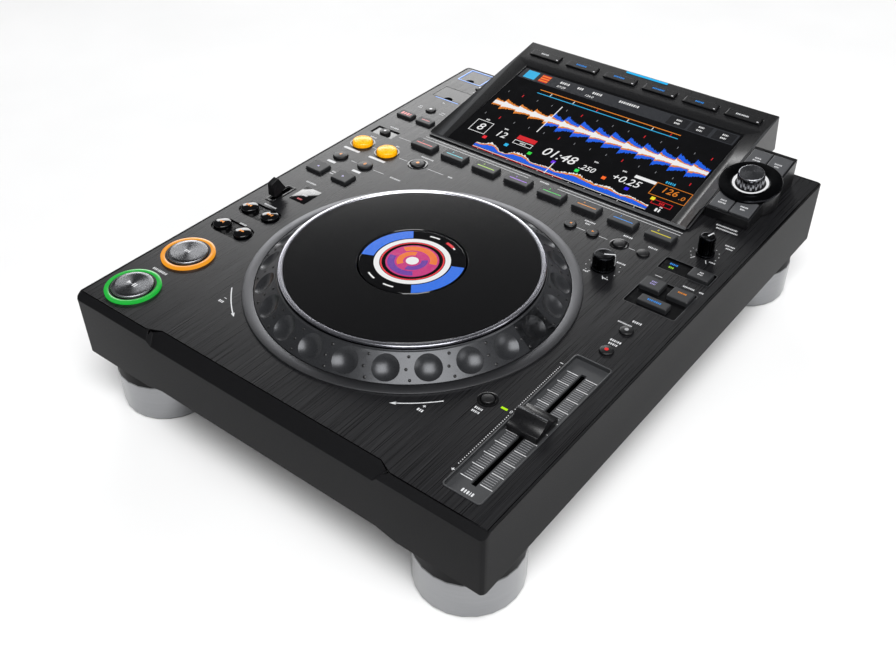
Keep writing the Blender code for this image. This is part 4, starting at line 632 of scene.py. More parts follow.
class PlayerColours(bpy.types.PropertyGroup):
    """Colours of the lamps and lenses."""
    play_light: colour_property("Play light", "Lit ring round the play button", "#1DB83C")
    cue_light: colour_property("Cue light", "Lit ring round the cue button", "#FFA526")
    loop_lens: colour_property("Loop lens", "Lenses of the two loop buttons", "#FFB400")
    wave_blue: colour_property("Wave blue", "Outer band of the waveform", "#0A5BE0")
    wave_orange: colour_property("Wave orange", "Inner band of the waveform", "#D97C1C")
    tempo_mark: colour_property("Tempo mark", "Lit bar at the middle of the tempo slider", "#B8F000")


def hex_of(colour):
    """The sRGB hex value of a linear colour."""
    channels = [12.92 * c if c <= 0.0031308 else 1.055 * c ** (1 / 2.4) - 0.055 for c in colour]
    return "#" + "".join(f"{round(255 * channel):02X}" for channel in channels)


# Casing
def build_casing(sizes):
    """The casing with its moulded grain."""
    soften("base_case", [look(moulded_abs)], edge_mm=sizes.edge_radius / MM)
    soften("power_switch", [look(satin_abs)], edge_mm=0.3)
    soften("main_board", [look(circuit_laminate)], edge_mm=0)
    for place in ("front_left", "front_right", "rear_left", "rear_right"):
        soften(f"foot_{place}", [look(foot_metal), look(moulded_abs)], foot_finish, edge_mm=0.5)


def foot_finish(middle, normal):
    """Which finish a face of a foot has: metal sleeve, or moulded above and below it."""
    sleeve_low, sleeve_top = 1.0, 28.6
    return 0 if sleeve_low <= middle.z <= sleeve_top else 1


def panel_finish(middle, normal):
    """Which finish a face of the panel has: brushed top, gloss pockets or the painted tray."""
    deck = DECK / MM
    tray_half, tray_end = 13, -78
    if abs(middle.x - TRACK_CENTRE[0]) < tray_half and middle.y < tray_end and middle.z < deck - 0.5:
        return 2
    if middle.z < deck - 0.4 or abs(normal.z) < 0.5:
        return 1
    return 0


def build_panel():
    """The brushed panel, its metal ring round the jog wheel, the frame of the slider's tray and the outlines
    of the two key plates, whose light charcoal is painted highlight along their edges.
    """
    looks = [look(brushed_anodised), look(pocket_acrylic), look(tray_grey)]
    soften("top_panel", looks, panel_finish, edge_mm=0)
    form = bmesh.new()
    add_ring(form, 103.5, 110.8, -1.0, 1.2, 0.35, steps=CELL_STEPS * DIMPLES)
    put("jog_trim_ring", form, [look(trim_metal)], matrix=Matrix.Translation(JOG))
    form = bmesh.new()
    # Raised, bevelled frame round the slider's tray: its light charcoal is painted highlight along the
    # tray's chamfered edge
    add_border(form, TRACK_CENTRE, (25.6, 131.2, 2.6), (23.8, 129.4, 1.7), -0.6, 0.3)
    bevelled(form, 0.12)
    put("slider_tray_frame_highlight", form, [look(bezel_abs)])
    form = bmesh.new()
    # Thin outlines round the sync plate and the jog mode strip: their light charcoal is painted highlight
    # along the plates' edges
    add_border(form, (137.6, -0.8), (37.4, 32.7, 2.0), (36.4, 31.7, 1.5), -0.3, 0.12)
    add_border(form, (137.6, 35.3), (38.0, 15.3, 2.0), (37.0, 14.3, 1.5), -0.3, 0.12)
    put("key_plate_outline_highlights", form, [look(bezel_abs)])


# Jog wheel
def add_dimple_cell(form):
    """One finger dimple with the part of the cone round it, drawn flat: x runs round, y up the cone."""
    disc = bmesh.ops.create_circle(form, cap_ends=True, segments=4 * CELL_STEPS,
                                   radius=DIMPLE_RADIUS + DIMPLE_EDGE)
    bowl = disc["verts"][0].link_faces[0]
    grown = bmesh.ops.extrude_edge_only(form, edges=list(bowl.edges))["geom"]
    for vert in grown:
        if isinstance(vert, bmesh.types.BMVert):
            turn = math.atan2(vert.co.y, vert.co.x)
            vert.co.x, vert.co.y = cell_border(turn)
    bmesh.ops.inset_individual(form, faces=[bowl], thickness=DIMPLE_EDGE)
    for _ in range(BOWL_RINGS):
        bmesh.ops.inset_individual(form, faces=[bowl], thickness=DIMPLE_RADIUS / (BOWL_RINGS + 1))
    bmesh.ops.poke(form, faces=[bowl])


def cell_border(turn):
    """The place on a dimple cell's square border for one of the bowl's evenly spaced headings.
    Each side has CELL_STEPS of them."""
    half_side = CELL_STEPS // 2
    step = round((turn % math.tau) / math.tau * 4 * CELL_STEPS + half_side) % (4 * CELL_STEPS)
    side, along = divmod(step, CELL_STEPS)
    half_width, half_length = CELL_WIDTH / 2, CONE_LENGTH / 2
    share = along / half_side - 1
    return ((half_width, half_length * share), (-half_width * share, half_length),
            (-half_width, -half_length * share), (half_width * share, -half_length))[side]


def bend_to_cone(vert):
    """Moves a point of a flat cell to the cone, sunk into the bowl where it lies inside it."""
    off = math.hypot(vert.co.x, vert.co.y)
    sink = 0.0
    if off < DIMPLE_RADIUS:
        sink = math.sqrt(DIMPLE_BALL ** 2 - off ** 2) - (DIMPLE_BALL - DIMPLE_DEPTH)
    reach, rise = cone_place(0.5 + vert.co.y / CONE_LENGTH)
    reach -= sink * math.sin(CONE_SLOPE)
    rise -= sink * math.cos(CONE_SLOPE)
    turn = vert.co.x / CELL_WIDTH * math.tau / DIMPLES
    vert.co = (reach * math.cos(turn), reach * math.sin(turn), rise)


def cone_place(share):
    """Radius and height of a place that is a share of the way up the cone."""
    return (CONE_LOW[0] + (CONE_TOP[0] - CONE_LOW[0]) * share,
            CONE_LOW[1] + (CONE_TOP[1] - CONE_LOW[1]) * share)


def build_jog_wheel(sizes):
    """The jog wheel: dimpled ring with its studs, cut rim with a fine second line, and grooved plate."""
    form = bmesh.new()
    add_dimple_cell(form)
    for vert in form.verts:
        bend_to_cone(vert)
    bmesh.ops.spin(form, geom=form.verts[:] + form.edges[:] + form.faces[:], cent=(0, 0, 0), axis=(0, 0, 1),
                   angle=math.tau, steps=DIMPLES, use_duplicate=True)
    painted, bright, grooved, dark = range(4)
    looks = [look(jog_metal), look(rim_metal), look(grooved_plate), look(pocket_acrylic)]
    bands = (
        # a finish, then radii and heights from the cone's top inwards, and back under the wheel
        (painted, (CONE_TOP, (87.7, 13.3), (87.4, 13.6), (87.0, 13.6))),
        (dark, ((87.0, 13.6), (86.9, 12.9), (86.4, 12.9))),
        (bright, ((86.4, 12.9), (86.4, 15.3), (86.0, 15.75), (85.0, 15.9), (83.6, 15.8), (83.2, 15.5))),
        (dark, ((83.2, 15.5), (83.0, 15.3), (82.8, 15.3))),
        (grooved, ((82.8, 15.3), (82.6, 15.5), (36.3, 15.5), (36.0, 15.2))),
        (painted, ((36.0, 15.2), (36.0, 12.0), (84.0, 10.0), (101.4, -2.0), (101.4, -5.0), (103.0, -5.0),
                   CONE_LOW)),
    )
    for tint, profile in bands:
        add_lathe(form, profile, steps=CELL_STEPS * DIMPLES, look_index=tint)
    put("jog_wheel_top", form, looks, "jog_wheel", ("jog_wheel",), Matrix.Translation(JOG), 28)
    form = bmesh.new()
    for gap in range(DIMPLES):
        heading = math.radians(360 / DIMPLES * (gap + 0.5))
        for share, drift in ((0.12, 1.6), (0.46, -0.6), (0.86, 1.0)):
            reach, rise = cone_place(share)
            stud = bmesh.new()
            add_cap(stud, sizes.stud_radius / MM, -0.4, 0.25, 0.2, 0.25, steps=10)
            place = (Matrix.Rotation(heading, 4, "Z") @ Matrix.Translation((reach, drift, rise))
                     @ Matrix.Rotation(CONE_SLOPE, 4, "Y"))
            bmesh.ops.transform(stud, matrix=place, verts=stud.verts)
            join(form, stud)
    put("jog_studs", form, [look(satin_abs)], "jog_wheel", matrix=Matrix.Translation(JOG))


def build_jog_display():
    """The round display in the wheel: coloured segments, rings and a plain disc of coloured bands."""
    soften("jog_display", [look(gloss_acrylic)], edge_mm=0.25)
    blue, white, red, magenta, orange, purple = range(6)
    codes = {"blue": "#1E6FE8", "white": "#F2F2F2", "red": "#E8222E", "magenta": "#C81E78",
             "orange": "#F0741E", "purple": "#6A2AA0"}
    looks = [look(lit, "display_light_" + colour, code, 0.9) for colour, code in codes.items()]
    form = bmesh.new()
    low, high = 15.15, 15.32
    for start in (128, -52):
        add_plate(form, band(26.0, 34.3, start, start + 76), low, high, blue)
    for start in (62, 92, 242, 272):
        add_plate(form, band(29.5, 30.6, start, start + 14, steps=6), low, high, white)
    add_plate(form, band(29.0, 31.0, 66, 80, steps=8), low, high + 0.02, red)
    add_frame(form, circle(25.0, steps=64), circle(21.4, steps=64), low, high, white)
    add_frame(form, circle(20.9, steps=64), circle(19.9, steps=64), low, high, red)
    add_plate(form, circle(17.4, steps=64), low, high, magenta)
    for inner, outer, turn in ((11.5, 16.2, 0), (6.0, 10.2, 90)):
        add_plate(form, band(inner, outer, 20 + turn, 150 + turn), low, high + 0.04, orange)
        add_plate(form, band(inner, outer, 190 + turn, 310 + turn), low, high + 0.04, purple)
    add_plate(form, circle(4.2), low, high + 0.06, white)
    put("jog_display_picture", form, looks, matrix=Matrix.Translation(JOG))


# Buttons and keys
def build_round_button(node, material, edge=0.5, dome=0.0):
    """A round button with a smooth cap and its hidden flange."""
    middle, flange, top = centre_of(node)
    form = bmesh.new()
    add_cap(form, flange - FLANGE, FLANGE_LOW, top - dome, edge, dome, middle, steps=48)
    add_ring(form, flange - FLANGE - 0.2, flange, FLANGE_LOW, FLANGE_TOP, 0.1, middle, steps=48)
    source = frame["nodes"][node]
    put(node + "_cap", form, [material], source["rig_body"], (node,))


def build_transport_buttons(sizes, colours):
    """The play and cue buttons: spun caps in lit rings, with a play and pause mark."""
    well_radius, light_radius = 14.5, 18.35
    seam_radius = light_radius - sizes.light_ring_width / MM
    lights = (
        ("play", PLAY_PLACE, look(lit, "play_ring_light", hex_of(colours.play_light), 0.85, "#0A2A10")),
        ("cue", CUE_PLACE, look(lit, "cue_ring_light", hex_of(colours.cue_light), 0.85, "#2A1A06")),
    )
    for name, place, light in lights:
        form = bmesh.new()
        add_ring(form, seam_radius, light_radius, -0.6, 1.8, 0.25, place)
        put(name + "_ring_light", form, [light])
        form = bmesh.new()
        add_ring(form, well_radius, seam_radius, -3.0, 1.0, 0.2, place)
        put(name + "_ring_well", form, [look(pocket_acrylic)])
    for node in ("play_pause_button", "cue_button"):
        build_round_button(node, look(spun_metal), 1.3)
    top = centre_of("play_pause_button")[2]
    low, high = top - 0.05, top + 0.05
    form = bmesh.new()
    triangle = ((-1.7, -1.6), (1.4, 0.0), (-1.7, 1.6))
    add_plate(form, [(PLAY_PLACE[0] - 2.6 + x, PLAY_PLACE[1] + y) for x, y in triangle], low, high)
    for shift in (1.6, 3.4):
        add_plate(form, rounded(1.0, 3.2, 0, (PLAY_PLACE[0] + shift, PLAY_PLACE[1])), low, high)
    put("play_mark", form, [look(legend_ink)], "play_pause_button")
    form = bmesh.new()
    add_word(form, CUE_PLACE, 3, 2.4, low, high)
    put("cue_mark", form, [look(legend_ink)], "cue_button")


def build_small_buttons(colours):
    """Round buttons, each with its lamp or mark."""
    for node in ("search_back_button", "search_forward_button", "track_back_button", "track_forward_button"):
        build_round_button(node, look(gloss_acrylic), 0.9, 0.6)
        build_skip_mark(node)
    for node in ("four_beat_loop_button", "eight_beat_loop_button", "call_buttons", "delete_button",
                 "memory_button", "tempo_reset_button", "tempo_range_button", "master_tempo_button",
                 "time_mode_button", "usb_stop_button", "hot_cue_call_button", "reloop_button"):
        if node == "call_buttons":
            # Two oblong buttons on one mat
            soften(node, [look(silicone)], edge_mm=0.5, segments=3)
        else:
            build_round_button(node, look(silicone), 0.7, 0.3)
    loop_look = look(lens, "loop_lens_yellow", "#D98A00", hex_of(colours.loop_lens), 0.30)
    for node in ("loop_in_button", "loop_out_button"):
        build_round_button(node, loop_look, 1.6, 0.7)
    build_wells()
    for node, figure in (("four_beat_loop_button", "4"), ("eight_beat_loop_button", "8")):
        middle, _, top = centre_of(node)
        form = bmesh.new()
        add_digits(form, figure, middle, 3.0, top - 0.3, top + 0.05)
        put(node + "_mark", form, [mark_light("orange", 0.9)], node)
    lamps = (
        # button, lamp colour and lamp radius
        ("reloop_button", "#FF9A1A", 1.3), ("master_tempo_button", "#FF2A2A", 1.3),
        ("tempo_range_button", "#BFC0C2", 1.3), ("time_mode_button", "#BFC0C2", 1.3),
        ("usb_stop_button", "#BFC0C2", 1.3), ("hot_cue_call_button", "#D8D8DA", 1.0),
    )
    for node, code, radius in lamps:
        middle, _, top = centre_of(node)
        form = bmesh.new()
        add_plate(form, circle(radius, middle, 16), top - 0.3, top + 0.06)
        lamp = look(lit, "lamp_" + code[1:].lower(), code, 0.8)
        put(node + "_lamp", form, [lamp], node)
    form = bmesh.new()
    middle, half, top = centre_of("call_buttons")
    for side in (-1, 1):
        arrow = turned([(-0.9, -0.9), (0.9, 0.0), (-0.9, 0.9)], 0 if side > 0 else 180,
                       (middle[0] + side * (half - 5.6), middle[1] + 0.6))
        add_plate(form, arrow, top - 0.3, top + 0.06)
    put("call_buttons_mark", form, [mark_light("orange", 0.9)], "call_buttons")


def build_skip_mark(node):
    """Orange arrows on a skip button: two arrows, with a bar before them on the track buttons."""
    middle, _, top = centre_of(node)
    way = -1 if "back" in node else 1
    form = bmesh.new()
    for shift in (-0.9, 1.1):
        arrow = [(shift - 1.0, -1.1), (shift + 1.0, 0.0), (shift - 1.0, 1.1)]
        placed = [(middle[0] + way * x, middle[1] + y) for x, y in arrow]
        add_plate(form, placed if way > 0 else placed[::-1], top - 0.4, top + 0.06)
    if "track" in node:
        add_plate(form, rounded(0.5, 2.2, 0, (middle[0] + way * 2.6, middle[1])), top - 0.4, top + 0.06)
    put(node + "_mark", form, [mark_light("orange", 0.9)], node)


def build_wells():
    """Dark rings round the buttons that sit in dishes."""
    form = bmesh.new()
    wells = {"loop_in_button": 1.6, "loop_out_button": 1.6, "reloop_button": 2.0, "delete_button": 1.8,
             "tempo_reset_button": 1.9}
    for node, reach in wells.items():
        middle, flange, _ = centre_of(node)
        inner = flange - FLANGE + 0.5
        add_ring(form, inner, inner + reach, -1.6, 0.15, 0.12, middle, steps=64)
    put("button_wells", form, [look(pocket_acrylic)])


def build_keys(sizes):
    """The oblong keys, with their figures, colour lines and arrows."""
    round_mm = sizes.edge_radius / MM
    for index, code in enumerate(HOT_CUE_COLOURS, 1):
        node = f"hot_cue_key_{index}"
        soften(node, [look(key_plastic)], edge_mm=round_mm, segments=3)
        middle, _, top = centre_of(node)
        form = bmesh.new()
        add_plate(form, rounded(15.2, 0.8, 0, (middle[0], middle[1] - 0.6)), top - 0.1, top + 0.04)
        add_digits(form, str(index), (middle[0] - 3.6, middle[1] + 2.6), 1.9, top - 0.1, top + 0.04)
        light = look(lit, f"cue_line_light_{index}", code, 0.75)
        put(node + "_mark", form, [light], node)
    for node in ("beat_jump_back_key", "beat_jump_forward_key", "slip_key", "quantize_key", "jog_mode_key",
                 "beat_sync_key", "master_key", "key_sync_key"):
        soften(node, [look(key_plastic)], edge_mm=round_mm, segments=3)
    for node, way in (("beat_jump_back_key", -1), ("beat_jump_forward_key", 1)):
        middle, _, top = centre_of(node)
        arrow = turned([(-0.9, -1.1), (1.1, 0.0), (-0.9, 1.1)], 0 if way > 0 else 180, middle)
        form = bmesh.new()
        add_plate(form, arrow, top - 0.1, top + 0.04)
        put(node + "_mark", form, [mark_light("lavender")], node)
    legends = (
        # key, light, and each word's letters, place before or behind the middle, and height
        ("slip_key", look(lit, "slip_light_red", "#E8141E", 0.8), ((4, 0.0, 4.0),)),
        ("quantize_key", mark_light("red"), ((8, 0.6, 1.5),)),
        ("jog_mode_key", mark_light("white"), ((3, 1.3, 1.5), (4, -1.1, 1.5))),
        ("beat_sync_key", mark_light("lavender"), ((4, 1.6, 1.6), (4, -0.9, 1.6))),
        ("master_key", mark_light("orange"), ((6, 1.4, 1.6),)),
        ("key_sync_key", mark_light("blue"), ((8, 0.0, 1.9),)),
    )
    for node, light, words in legends:
        middle, _, top = centre_of(node)
        form = bmesh.new()
        for letters, shift, height in words:
            add_word(form, (middle[0], middle[1] + shift), letters, height, top - 0.1, top + 0.04)
        put(node + "_mark", form, [light], node)


# Lever, doors and slider
def build_lever_and_doors():
    """The direction lever with its legend plate, and the two doors with their lamps."""
    soften("direction_lever", [look(satin_abs)], edge_mm=0.6, segments=3)
    for node in ("sd_door", "usb_door"):
        soften(node, [look(satin_abs)], edge_mm=0.2)
    form = bmesh.new()
    plate_place = (-128.9, -49.2)
    plate, white, red = range(3)
    looks = [look(gloss_acrylic), look(legend_ink), mark_light("red")]
    add_plate(form, rounded(15.5, 19.5, 0.6, plate_place), -0.4, 0.12, plate)
    bevelled(form, 0.08)
    for shift, letters, tint in ((5.6, 6, white), (-0.4, 4, white), (-6.2, 4, red)):
        add_word(form, (plate_place[0], plate_place[1] + shift), letters, 1.9, 0.1, 0.18, tint)
    put("lever_legend_plate", form, looks)
    form = bmesh.new()
    add_border(form, (-145, -58.6), (8.6, 24.6, 1.0), (5.4, 21.4, 0.6), -0.5, 0.35)
    bevelled(form, 0.15)
    put("lever_slot_frame", form, [look(satin_abs)])
    form = bmesh.new()
    add_plate(form, rounded(24.0, 1.0, 0.4, (-140.0, 133.2)), -0.2, 0.15)
    put("card_door_light", form, [look(lit, "card_light_blue", "#1E7BE0", 0.9)])
    form = bmesh.new()
    add_border(form, (-145.4, 181.9), (24.4, 22.2, 1.2), (22.0, 19.9, 0.8), -0.4, 0.2)
    put("usb_door_light", form, [look(lit, "usb_light_blue", "#1E7BE0", 0.8)])


def build_slider(colours):
    """The tempo slider: waisted cap with a metal line, scale lines and lamp."""
    middle, half, _ = centre_of("tempo_slider")
    # The cap's outline from the side: its front slope, the same mirrored, and its foot
    slope = [
        (-10.7, 2.0), (-10.3, 2.8), (-9.0, 2.7), (-7.0, 3.0), (-5.0, 3.9), (-3.2, 5.3), (-1.9, 7.2),
        (-1.3, 8.0),
    ]
    outline = slope + [(-y, z) for y, z in reversed(slope)] + [(10.7, -1.7), (-10.7, -1.7)]
    form = bmesh.new()
    base = form.faces.new([form.verts.new((-half, y, z)) for y, z in outline])
    thickened(form, [base], (2 * half, 0, 0))
    bmesh.ops.recalc_face_normals(form, faces=form.faces)
    bevelled(form, 0.3, least_angle=50)
    add_plate(form, rounded(5.0, 12.0), -7.0, -1.0)
    bmesh.ops.translate(form, verts=form.verts, vec=(*middle, 0))
    put("tempo_slider_cap", form, [look(satin_abs)], "tempo_slider", ("tempo_slider",))
    form = bmesh.new()
    add_plate(form, rounded(2 * half - 0.5, 1.0, 0, middle), 7.7, 8.08)
    put("slider_line", form, [look(plated_steel)], "tempo_slider")
    form = bmesh.new()
    low, high = TRACK_FLOOR - 0.02, TRACK_FLOOR + 0.05
    strong, thin = range(2)
    lines, line_gap, strong_every = 61, 1.72, 6
    for index in range(lines):
        y = TRACK_CENTRE[1] + (index - lines // 2) * line_gap
        length, width, tint = (6.4, 0.34, thin) if index % strong_every else (7.8, 0.5, strong)
        for side in (-1, 1):
            x = TRACK_CENTRE[0] + side * (2.6 + length / 2)
            add_plate(form, rounded(length, width, 0, (x, y)), low, high, tint)
    add_word(form, (TRACK_CENTRE[0] + 0.6, TRACK_CENTRE[1] - 60.0), 5, 2.6, low, high)
    put("slider_scale", form, [look(legend_ink), look(thin_ink)])
    form = bmesh.new()
    add_plate(form, rounded(4.2, 1.5, 0.2, (118.3, -144.7)), -0.3, 0.15)
    put("tempo_mark_light", form, [look(lit, "tempo_mark_light", hex_of(colours.tempo_mark), 1.0)])


# Knobs
def fluted(radius, depth, flutes):
    """Outline of a knob with grooves round it."""
    points = []
    for index in range(flutes):
        for share, reach in ((0.0, radius), (0.35, radius), (0.5, radius - depth), (0.85, radius - depth)):
            angle = math.tau * (index + share) / flutes
            points.append((reach * math.cos(angle), reach * math.sin(angle)))
    return points


def build_knobs(sizes):
    """The two small knobs in black chrome, with white pointers."""
    for node, heading in (("jog_adjust_knob", -60.0), ("vinyl_speed_knob", -15.0)):
        middle, half, top = centre_of(node)
        radius = half - 0.8
        form = bmesh.new()
        add_plate(form, fluted(radius, sizes.flute_depth / MM, 18), 1.4, top - 1.2)
        add_ring(form, 1.0, half, 0.7, 1.8, 0.3)
        add_cap(form, radius - 0.7, top - 2.4, top, 0.5, steps=48)
        add_cap(form, 2.4, -5.0, 1.5, 0.2, steps=24)
        bmesh.ops.translate(form, verts=form.verts, vec=(*middle, 0))
        put(node + "_body", form, [look(black_chrome)], node, (node,))
        form = bmesh.new()
        on_top, on_side = rounded(0.9, radius, 0, (0, radius / 2)), rounded(0.9, 0.7, 0, (0, radius - 0.1))
        add_plate(form, turned(on_top, heading, middle), top - 0.1, top + 0.05)
        add_plate(form, turned(on_side, heading, middle), 2.0, top - 0.9)
        put(node + "_pointer", form, [look(legend_ink)], node)


def build_selector():
    """The rotary selector: spun ring, lit well, fluted knob and four painted keys."""
    soften("selector_base", [look(satin_abs)], edge_mm=0.5)
    form = bmesh.new()
    add_lathe(form, [
        (13.2, 1.2), (13.2, 2.7), (13.8, 3.3), (18.0, 3.75), (21.9, 3.3), (22.5, 2.7), (22.5, 1.2),
        (13.2, 1.2),
    ])
    put("selector_ring", form, [look(black_chrome)], matrix=SELECTOR)
    form = bmesh.new()
    add_ring(form, 11.0, 13.2, 1.0, 2.3, 0.2)
    put("selector_ring_light", form, [look(lit, "white_ring_light", "#F4F4F6", 0.9)],
        matrix=SELECTOR)
    form = bmesh.new()
    add_plate(form, fluted(9.6, 1.1, 16), 1.6, 9.8)
    add_cap(form, 9.0, 8.0, 11.2, 0.7)
    put("selector_knob_body", form, [look(satin_chrome)], "selector_knob", ("selector_knob",),
        SELECTOR)
    soften("selector_shaft", [look(spun_metal)], edge_mm=0.2)
    for node in ("selector_keys_front", "selector_keys_rear"):
        soften(node, [look(pale_key_plastic)], edge_mm=0.4, segments=3)
        away = -1 if "front" in node else 1
        form = bmesh.new()
        for side in (-1, 1):
            for row, letters in enumerate((5, 6) if side < 0 else (6, 4)):
                add_word(form, (side * 7.85, away * 26.5 + 1.4 - 2.8 * row), letters, 1.5, 0.9, 1.06)
        put(node + "_legend", form, [look(legend_ink)], node, matrix=SELECTOR)


# Display. On the screen, x runs across and y up the slope, in millimetres from the slope's foot.
SCREEN_FLOOR = -2.0
BEAT_LENGTH = 14.2
CURSOR_X = -41


def housing_finish(middle, normal):
    """Which finish a face of the housing has: painted bezel on the sloping top, satin elsewhere."""
    local = SLOPE.inverted() @ (middle * MM)
    return 1 if abs(local.z) < 0.0006 and normal.z > 0.9 and local.y < 0.118 else 0


def build_display():
    """The display housing with its bezel, glass, keys, lamps and front lines."""
    soften("display_housing", [look(satin_abs), look(bezel_abs)], housing_finish, edge_mm=0.5)
    soften("display_screen", [look(gloss_acrylic)], edge_mm=0)
    soften("display_keys", [look(satin_abs)], edge_mm=0.35, segments=3)
    white, blue, lamp = range(3)
    looks = [look(legend_ink), mark_light("blue"), look(lit, "lamp_white", "#F4F4F6", 0.9)]
    legends = ((6, white), (8, blue), (8, blue), (9, blue), (6, blue), (9, white))
    pitch, row = 36.3, 131.5
    form = bmesh.new()
    for index, (letters, tint) in enumerate(legends):
        x = (index - (len(legends) - 1) / 2) * pitch
        add_word(form, (x - 1.5, row + 0.4), letters, 1.9, 1.1, 1.26, tint)
        add_plate(form, rounded(1.5, 0.9, 0.1, (x + 12.3, row - 2.4)), 1.1, 1.26, lamp)
    put("display_key_legends", form, looks, "display_keys", matrix=SLOPE)
    form = bmesh.new()
    add_plate(form, rounded(38.0, 2.2, 0.6, (0, 142.6)), -0.4, 0.25)
    cyan = look(lit, "cyan_bar_light", "#22B4F0", 1.0)
    put("display_top_light", form, [cyan], matrix=SLOPE)
    form = bmesh.new()
    for side in (-1, 1):
        for y in (73.4, 70.0):
            add_plate(form, rounded(101.0, 0.45, 0, (side * 63.5, y)), -0.2, 0.10)
    put("hot_cue_lines", form, [look(legend_ink)])


def wave_outline(start, end, middle, reach, seed, sharp=1.6):
    """Outline of a sound wave: it jumps at every beat and then dies away, with a little unevenness."""
    rough = random.Random(seed)
    top, bottom = [], []
    step, beat_start = 0.55, -200.0
    count = int((end - start) / step)
    for index in range(count + 1):
        x = start + (end - start) * index / count
        phase = ((x - beat_start) % BEAT_LENGTH) / BEAT_LENGTH
        decay = (1 - phase) ** sharp
        size = reach * (0.34 + 0.52 * decay + 0.14 * rough.random())
        top.append((x, middle + size * (0.94 + 0.12 * rough.random())))
        bottom.append((x, middle - size * (0.94 + 0.12 * rough.random())))
    return top + bottom[::-1]


def hill_outline(start, end, floor, heights, seed):
    """Outline of the track overview: a floor line and a jagged hill over it."""
    rough = random.Random(seed)
    step = 0.7
    count = int((end - start) / step)
    points = [(start, floor)]
    for index in range(count + 1):
        share = index / count
        place = share * (len(heights) - 1)
        low = min(int(place), len(heights) - 2)
        height = heights[low] + (heights[low + 1] - heights[low]) * (place - low)
        points.append((start + (end - start) * share, floor + height * (0.86 + 0.22 * rough.random())))
    return points + [(end, floor)]


def build_screen_picture(colours):
    """The picture on the touch screen: header, two lines, waveform, readouts and overview."""
    codes = {
        "blue": (hex_of(colours.wave_blue), 1.0), "orange": (hex_of(colours.wave_orange), 1.0),
        "white": ("#F0F0F0", 0.95), "red": ("#D8141E", 0.95), "cyan": ("#2FB4E8", 0.95),
        "amber": ("#F08A1E", 0.95), "grey": ("#2A2C30", 0.9), "pale": ("#8C8E92", 0.9),
        "dark": ("#101114", 0.9),
    }
    lights = {name: look(lit, "screen_light_" + name, *details) for name, details in codes.items()}
    build_waveform(lights)
    build_overview(lights)
    build_header(lights)
    build_readouts(lights)


def screen_plate(form, outline, level, look_index=0):
    """A lit patch on the screen. A higher level lies over a lower one."""
    add_plate(form, outline, SCREEN_FLOOR - 0.05, SCREEN_FLOOR + 0.03 * (level + 1), look_index)


def screen_bar(form, centre, width, length, level, look_index, radius=0.0):
    """A lit rectangle on the screen."""
    screen_plate(form, rounded(width, length, radius, centre), level, look_index)


def put_on_screen(name, form, looks):
    """Makes a part of the screen's picture into a piece."""
    put(name, form, looks, matrix=SLOPE)


def build_waveform(lights):
    """The moving waveform with its beat ticks and the fixed white cursor."""
    looks = [lights[name] for name in ("blue", "orange", "white", "pale", "red")]
    blue, orange, white, pale, red = range(len(looks))
    waves = (
        # start, end, half height, seed, sharpness of each beat, level and colour
        (-95, CURSOR_X, 7.5, 3, 1.6, 1, orange),
        (-95, CURSOR_X, 4.6, 4, 3.0, 2, white),
        (CURSOR_X, 98, 12.0, 5, 1.6, 0, blue),
        (CURSOR_X, 98, 6.6, 6, 2.6, 1, orange),
        (CURSOR_X, 98, 4.4, 7, 4.0, 2, white),
    )
    form = bmesh.new()
    for start, end, reach, seed, sharp, level, tint in waves:
        screen_plate(form, wave_outline(start, end, 61.0, reach, seed, sharp), level, tint)
    for index in range(14):
        x = -92 + BEAT_LENGTH * index
        width, length, tint = (0.7, 3.0, red) if index % 4 == 1 else (0.45, 2.2, pale)
        for y in (77.5, 44.5):
            screen_bar(form, (x, y), width, length, 0, tint)
    screen_bar(form, (CURSOR_X, 61.5), 0.8, 37, 3, white)
    put_on_screen("screen_waveform", form, looks)


def build_overview(lights):
    """The whole track as a low hill, with coloured marks over it and a played line under it."""
    looks = [lights[name] for name in ("blue", "orange", "white", "red")]
    blue, orange, white, red = range(len(looks))
    heights = (4, 5, 9, 8, 3, 3, 8, 9, 8, 4, 4, 5, 6, 4, 6, 8, 10, 8, 7, 6, 7, 8, 6, 5, 7, 6, 5, 4)
    form = bmesh.new()
    for level, (share, seed, tint) in enumerate(((1, 11, white), (0.86, 12, orange), (0.62, 13, blue))):
        hill = hill_outline(-76, 78, 6.0, [share * height for height in heights], seed)
        screen_plate(form, hill, level, tint)
    screen_bar(form, (1, 5.2), 154, 0.5, 0, white)
    screen_bar(form, (-34, 4.4), 84, 0.7, 1, red)
    screen_bar(form, (-8, 11), 0.7, 14, 3, white)
    for index in range(11):
        screen_bar(form, (-70 + 14 * index, 3.2), 0.4, 1.6, 0, white)
    marks = (
        # place and colour of each mark over the hill
        (-74, 18.2, "#F01828"), (-53, 18.2, "#22B4E8"), (-31, 18.2, "#30D840"), (-9, 18.2, "#6A22E0"),
        (12, 18.2, "#22E85A"), (34, 20.7, "#FF6A1E"), (55, 18.2, "#2418E8"), (77, 18.2, "#F0E020"),
    )
    for index, (x, y, code) in enumerate(marks, 1):
        screen_bar(form, (x, y), 3.2, 3.2, 3, len(looks), 0.3)
        looks.append(look(lit, f"screen_mark_light_{index}", code, 1.0))
    put_on_screen("screen_overview", form, looks)


